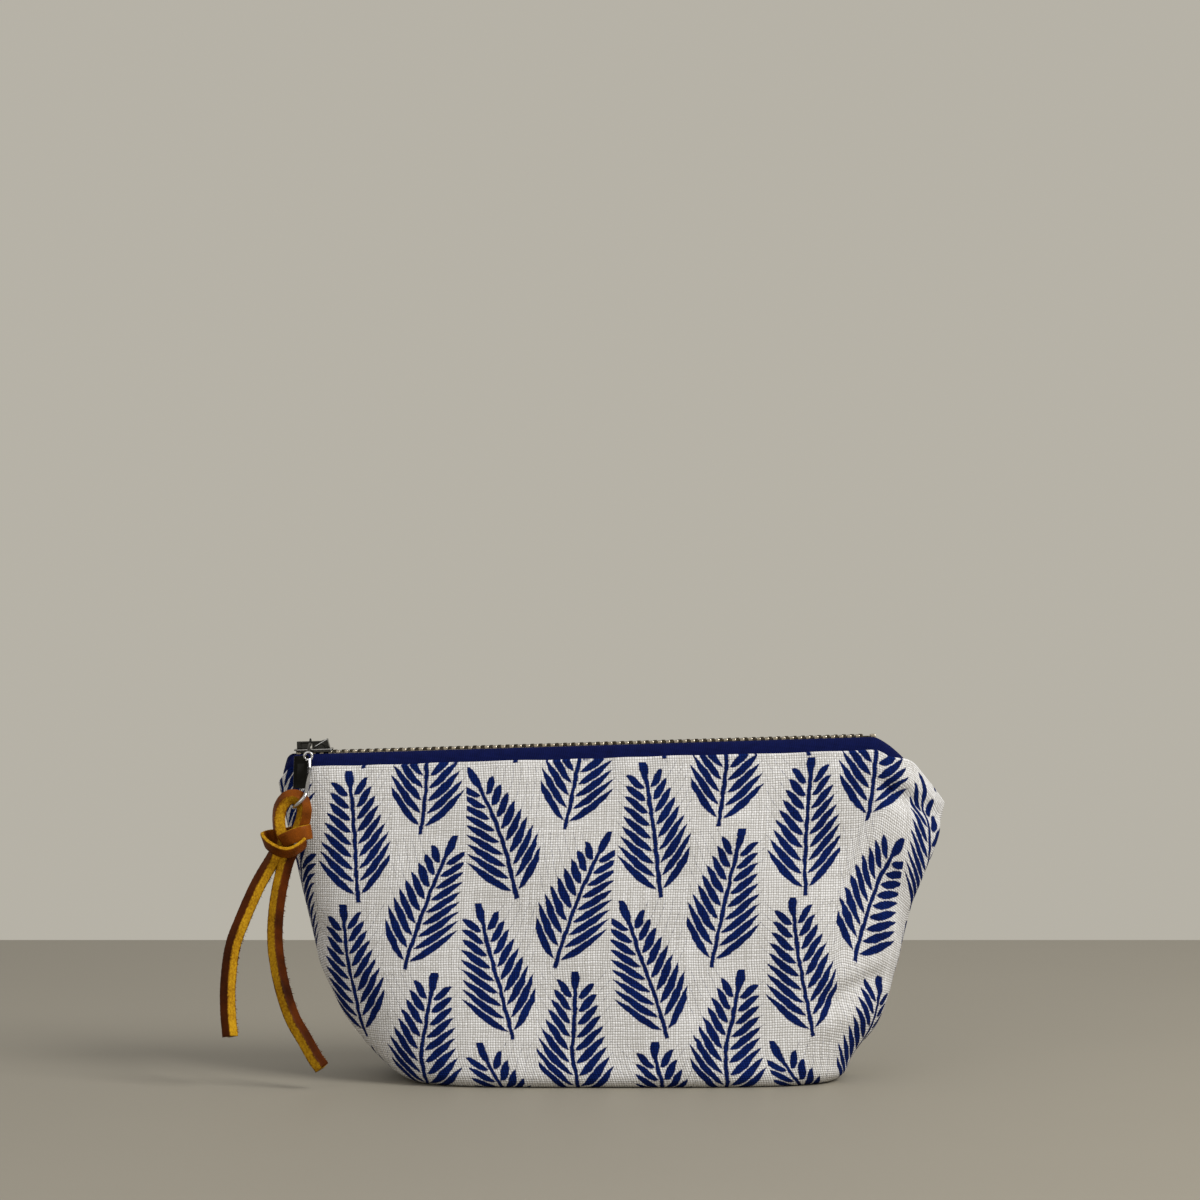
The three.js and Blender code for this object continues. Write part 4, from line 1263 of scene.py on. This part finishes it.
CAMERA_DISTANCE = FOCAL_PIXELS * MM_PER_PIXEL * MM
FLOOR_BACK = CAMERA_HEIGHT * MM * FOCAL_PIXELS / (FLOOR_EDGE_PIXEL_Y - PHOTO_SIZE / 2) - CAMERA_DISTANCE
FLOOR_REACH = 1.6
AMBIENT_COLOUR = (0.5, 0.5, 0.52)
WALL_COLOUR = (0.47, 0.445, 0.385)
FLOOR_COLOUR = (0.29, 0.262, 0.205)
FLOOR_DARKER = 0.96
LAMP_TARGET = (0, 0, 0.05)


def make_floor():
    finish = Finish("pale_floor", 0.6, specular=0.3)
    tone = finish.noise(finish.place(), 9.0, 3.0)
    low = tuple(value * FLOOR_DARKER for value in FLOOR_COLOUR)
    finish.colour(tone.blend(low, FLOOR_COLOUR))
    corners = [(-FLOOR_REACH, -FLOOR_REACH), (FLOOR_REACH, -FLOOR_REACH), (FLOOR_REACH, FLOOR_BACK),
               (-FLOOR_REACH, FLOOR_BACK)]
    floor = new_object("floor", [(x / MM, y / MM, 0) for x, y in corners], [(0, 1, 2, 3)], finish.material)


def make_world():
    world = bpy.data.worlds.new("studio")
    bpy.context.scene.world = world
    world.use_nodes = True
    tree = world.node_tree
    background = tree.nodes["Background"]
    path = add_node(tree, "LightPath")
    seen = Wire(tree, path.outputs["Is Camera Ray"]) + Wire(tree, path.outputs["Is Glossy Ray"])
    seen = seen + Wire(tree, path.outputs["Is Transmission Ray"])
    tree.links.new(seen.blend(AMBIENT_COLOUR, WALL_COLOUR), background.inputs["Color"])


def add_area(name, place, size, power):
    light = bpy.data.lights.new(name, "AREA")
    light.shape = "DISK"
    light.size = size
    light.energy = power
    lamp = add_to_scene(name, light)
    lamp.location = place
    aim = np.array(LAMP_TARGET) - np.array(place)
    tilt = math.atan2(math.hypot(aim[0], aim[1]), -aim[2])
    lamp.rotation_euler = (tilt, 0, math.atan2(aim[1], aim[0]) - math.pi / 2)


def add_camera():
    data = bpy.data.cameras.new("camera")
    data.sensor_fit = "AUTO"
    data.angle = 2 * math.atan(PHOTO_SIZE / 2 / FOCAL_PIXELS)
    data.clip_start = 0.01
    camera = add_to_scene("camera", data)
    shift_x = (PHOTO_SIZE / 2 - POUCH_PIXEL_X) * MM_PER_PIXEL * MM
    camera.location = (shift_x, -CAMERA_DISTANCE, CAMERA_HEIGHT * MM)
    camera.rotation_euler = (math.pi / 2, 0, 0)
    bpy.context.scene.camera = camera


make_floor()
make_world()
add_area("key", place=(0.85, -0.62, 0.9), size=0.7, power=15.5)
add_area("fill", place=(-0.5, -1.0, 0.6), size=1.0, power=2.4)
add_camera()
bpy.context.scene.view_settings.view_transform = "Standard"
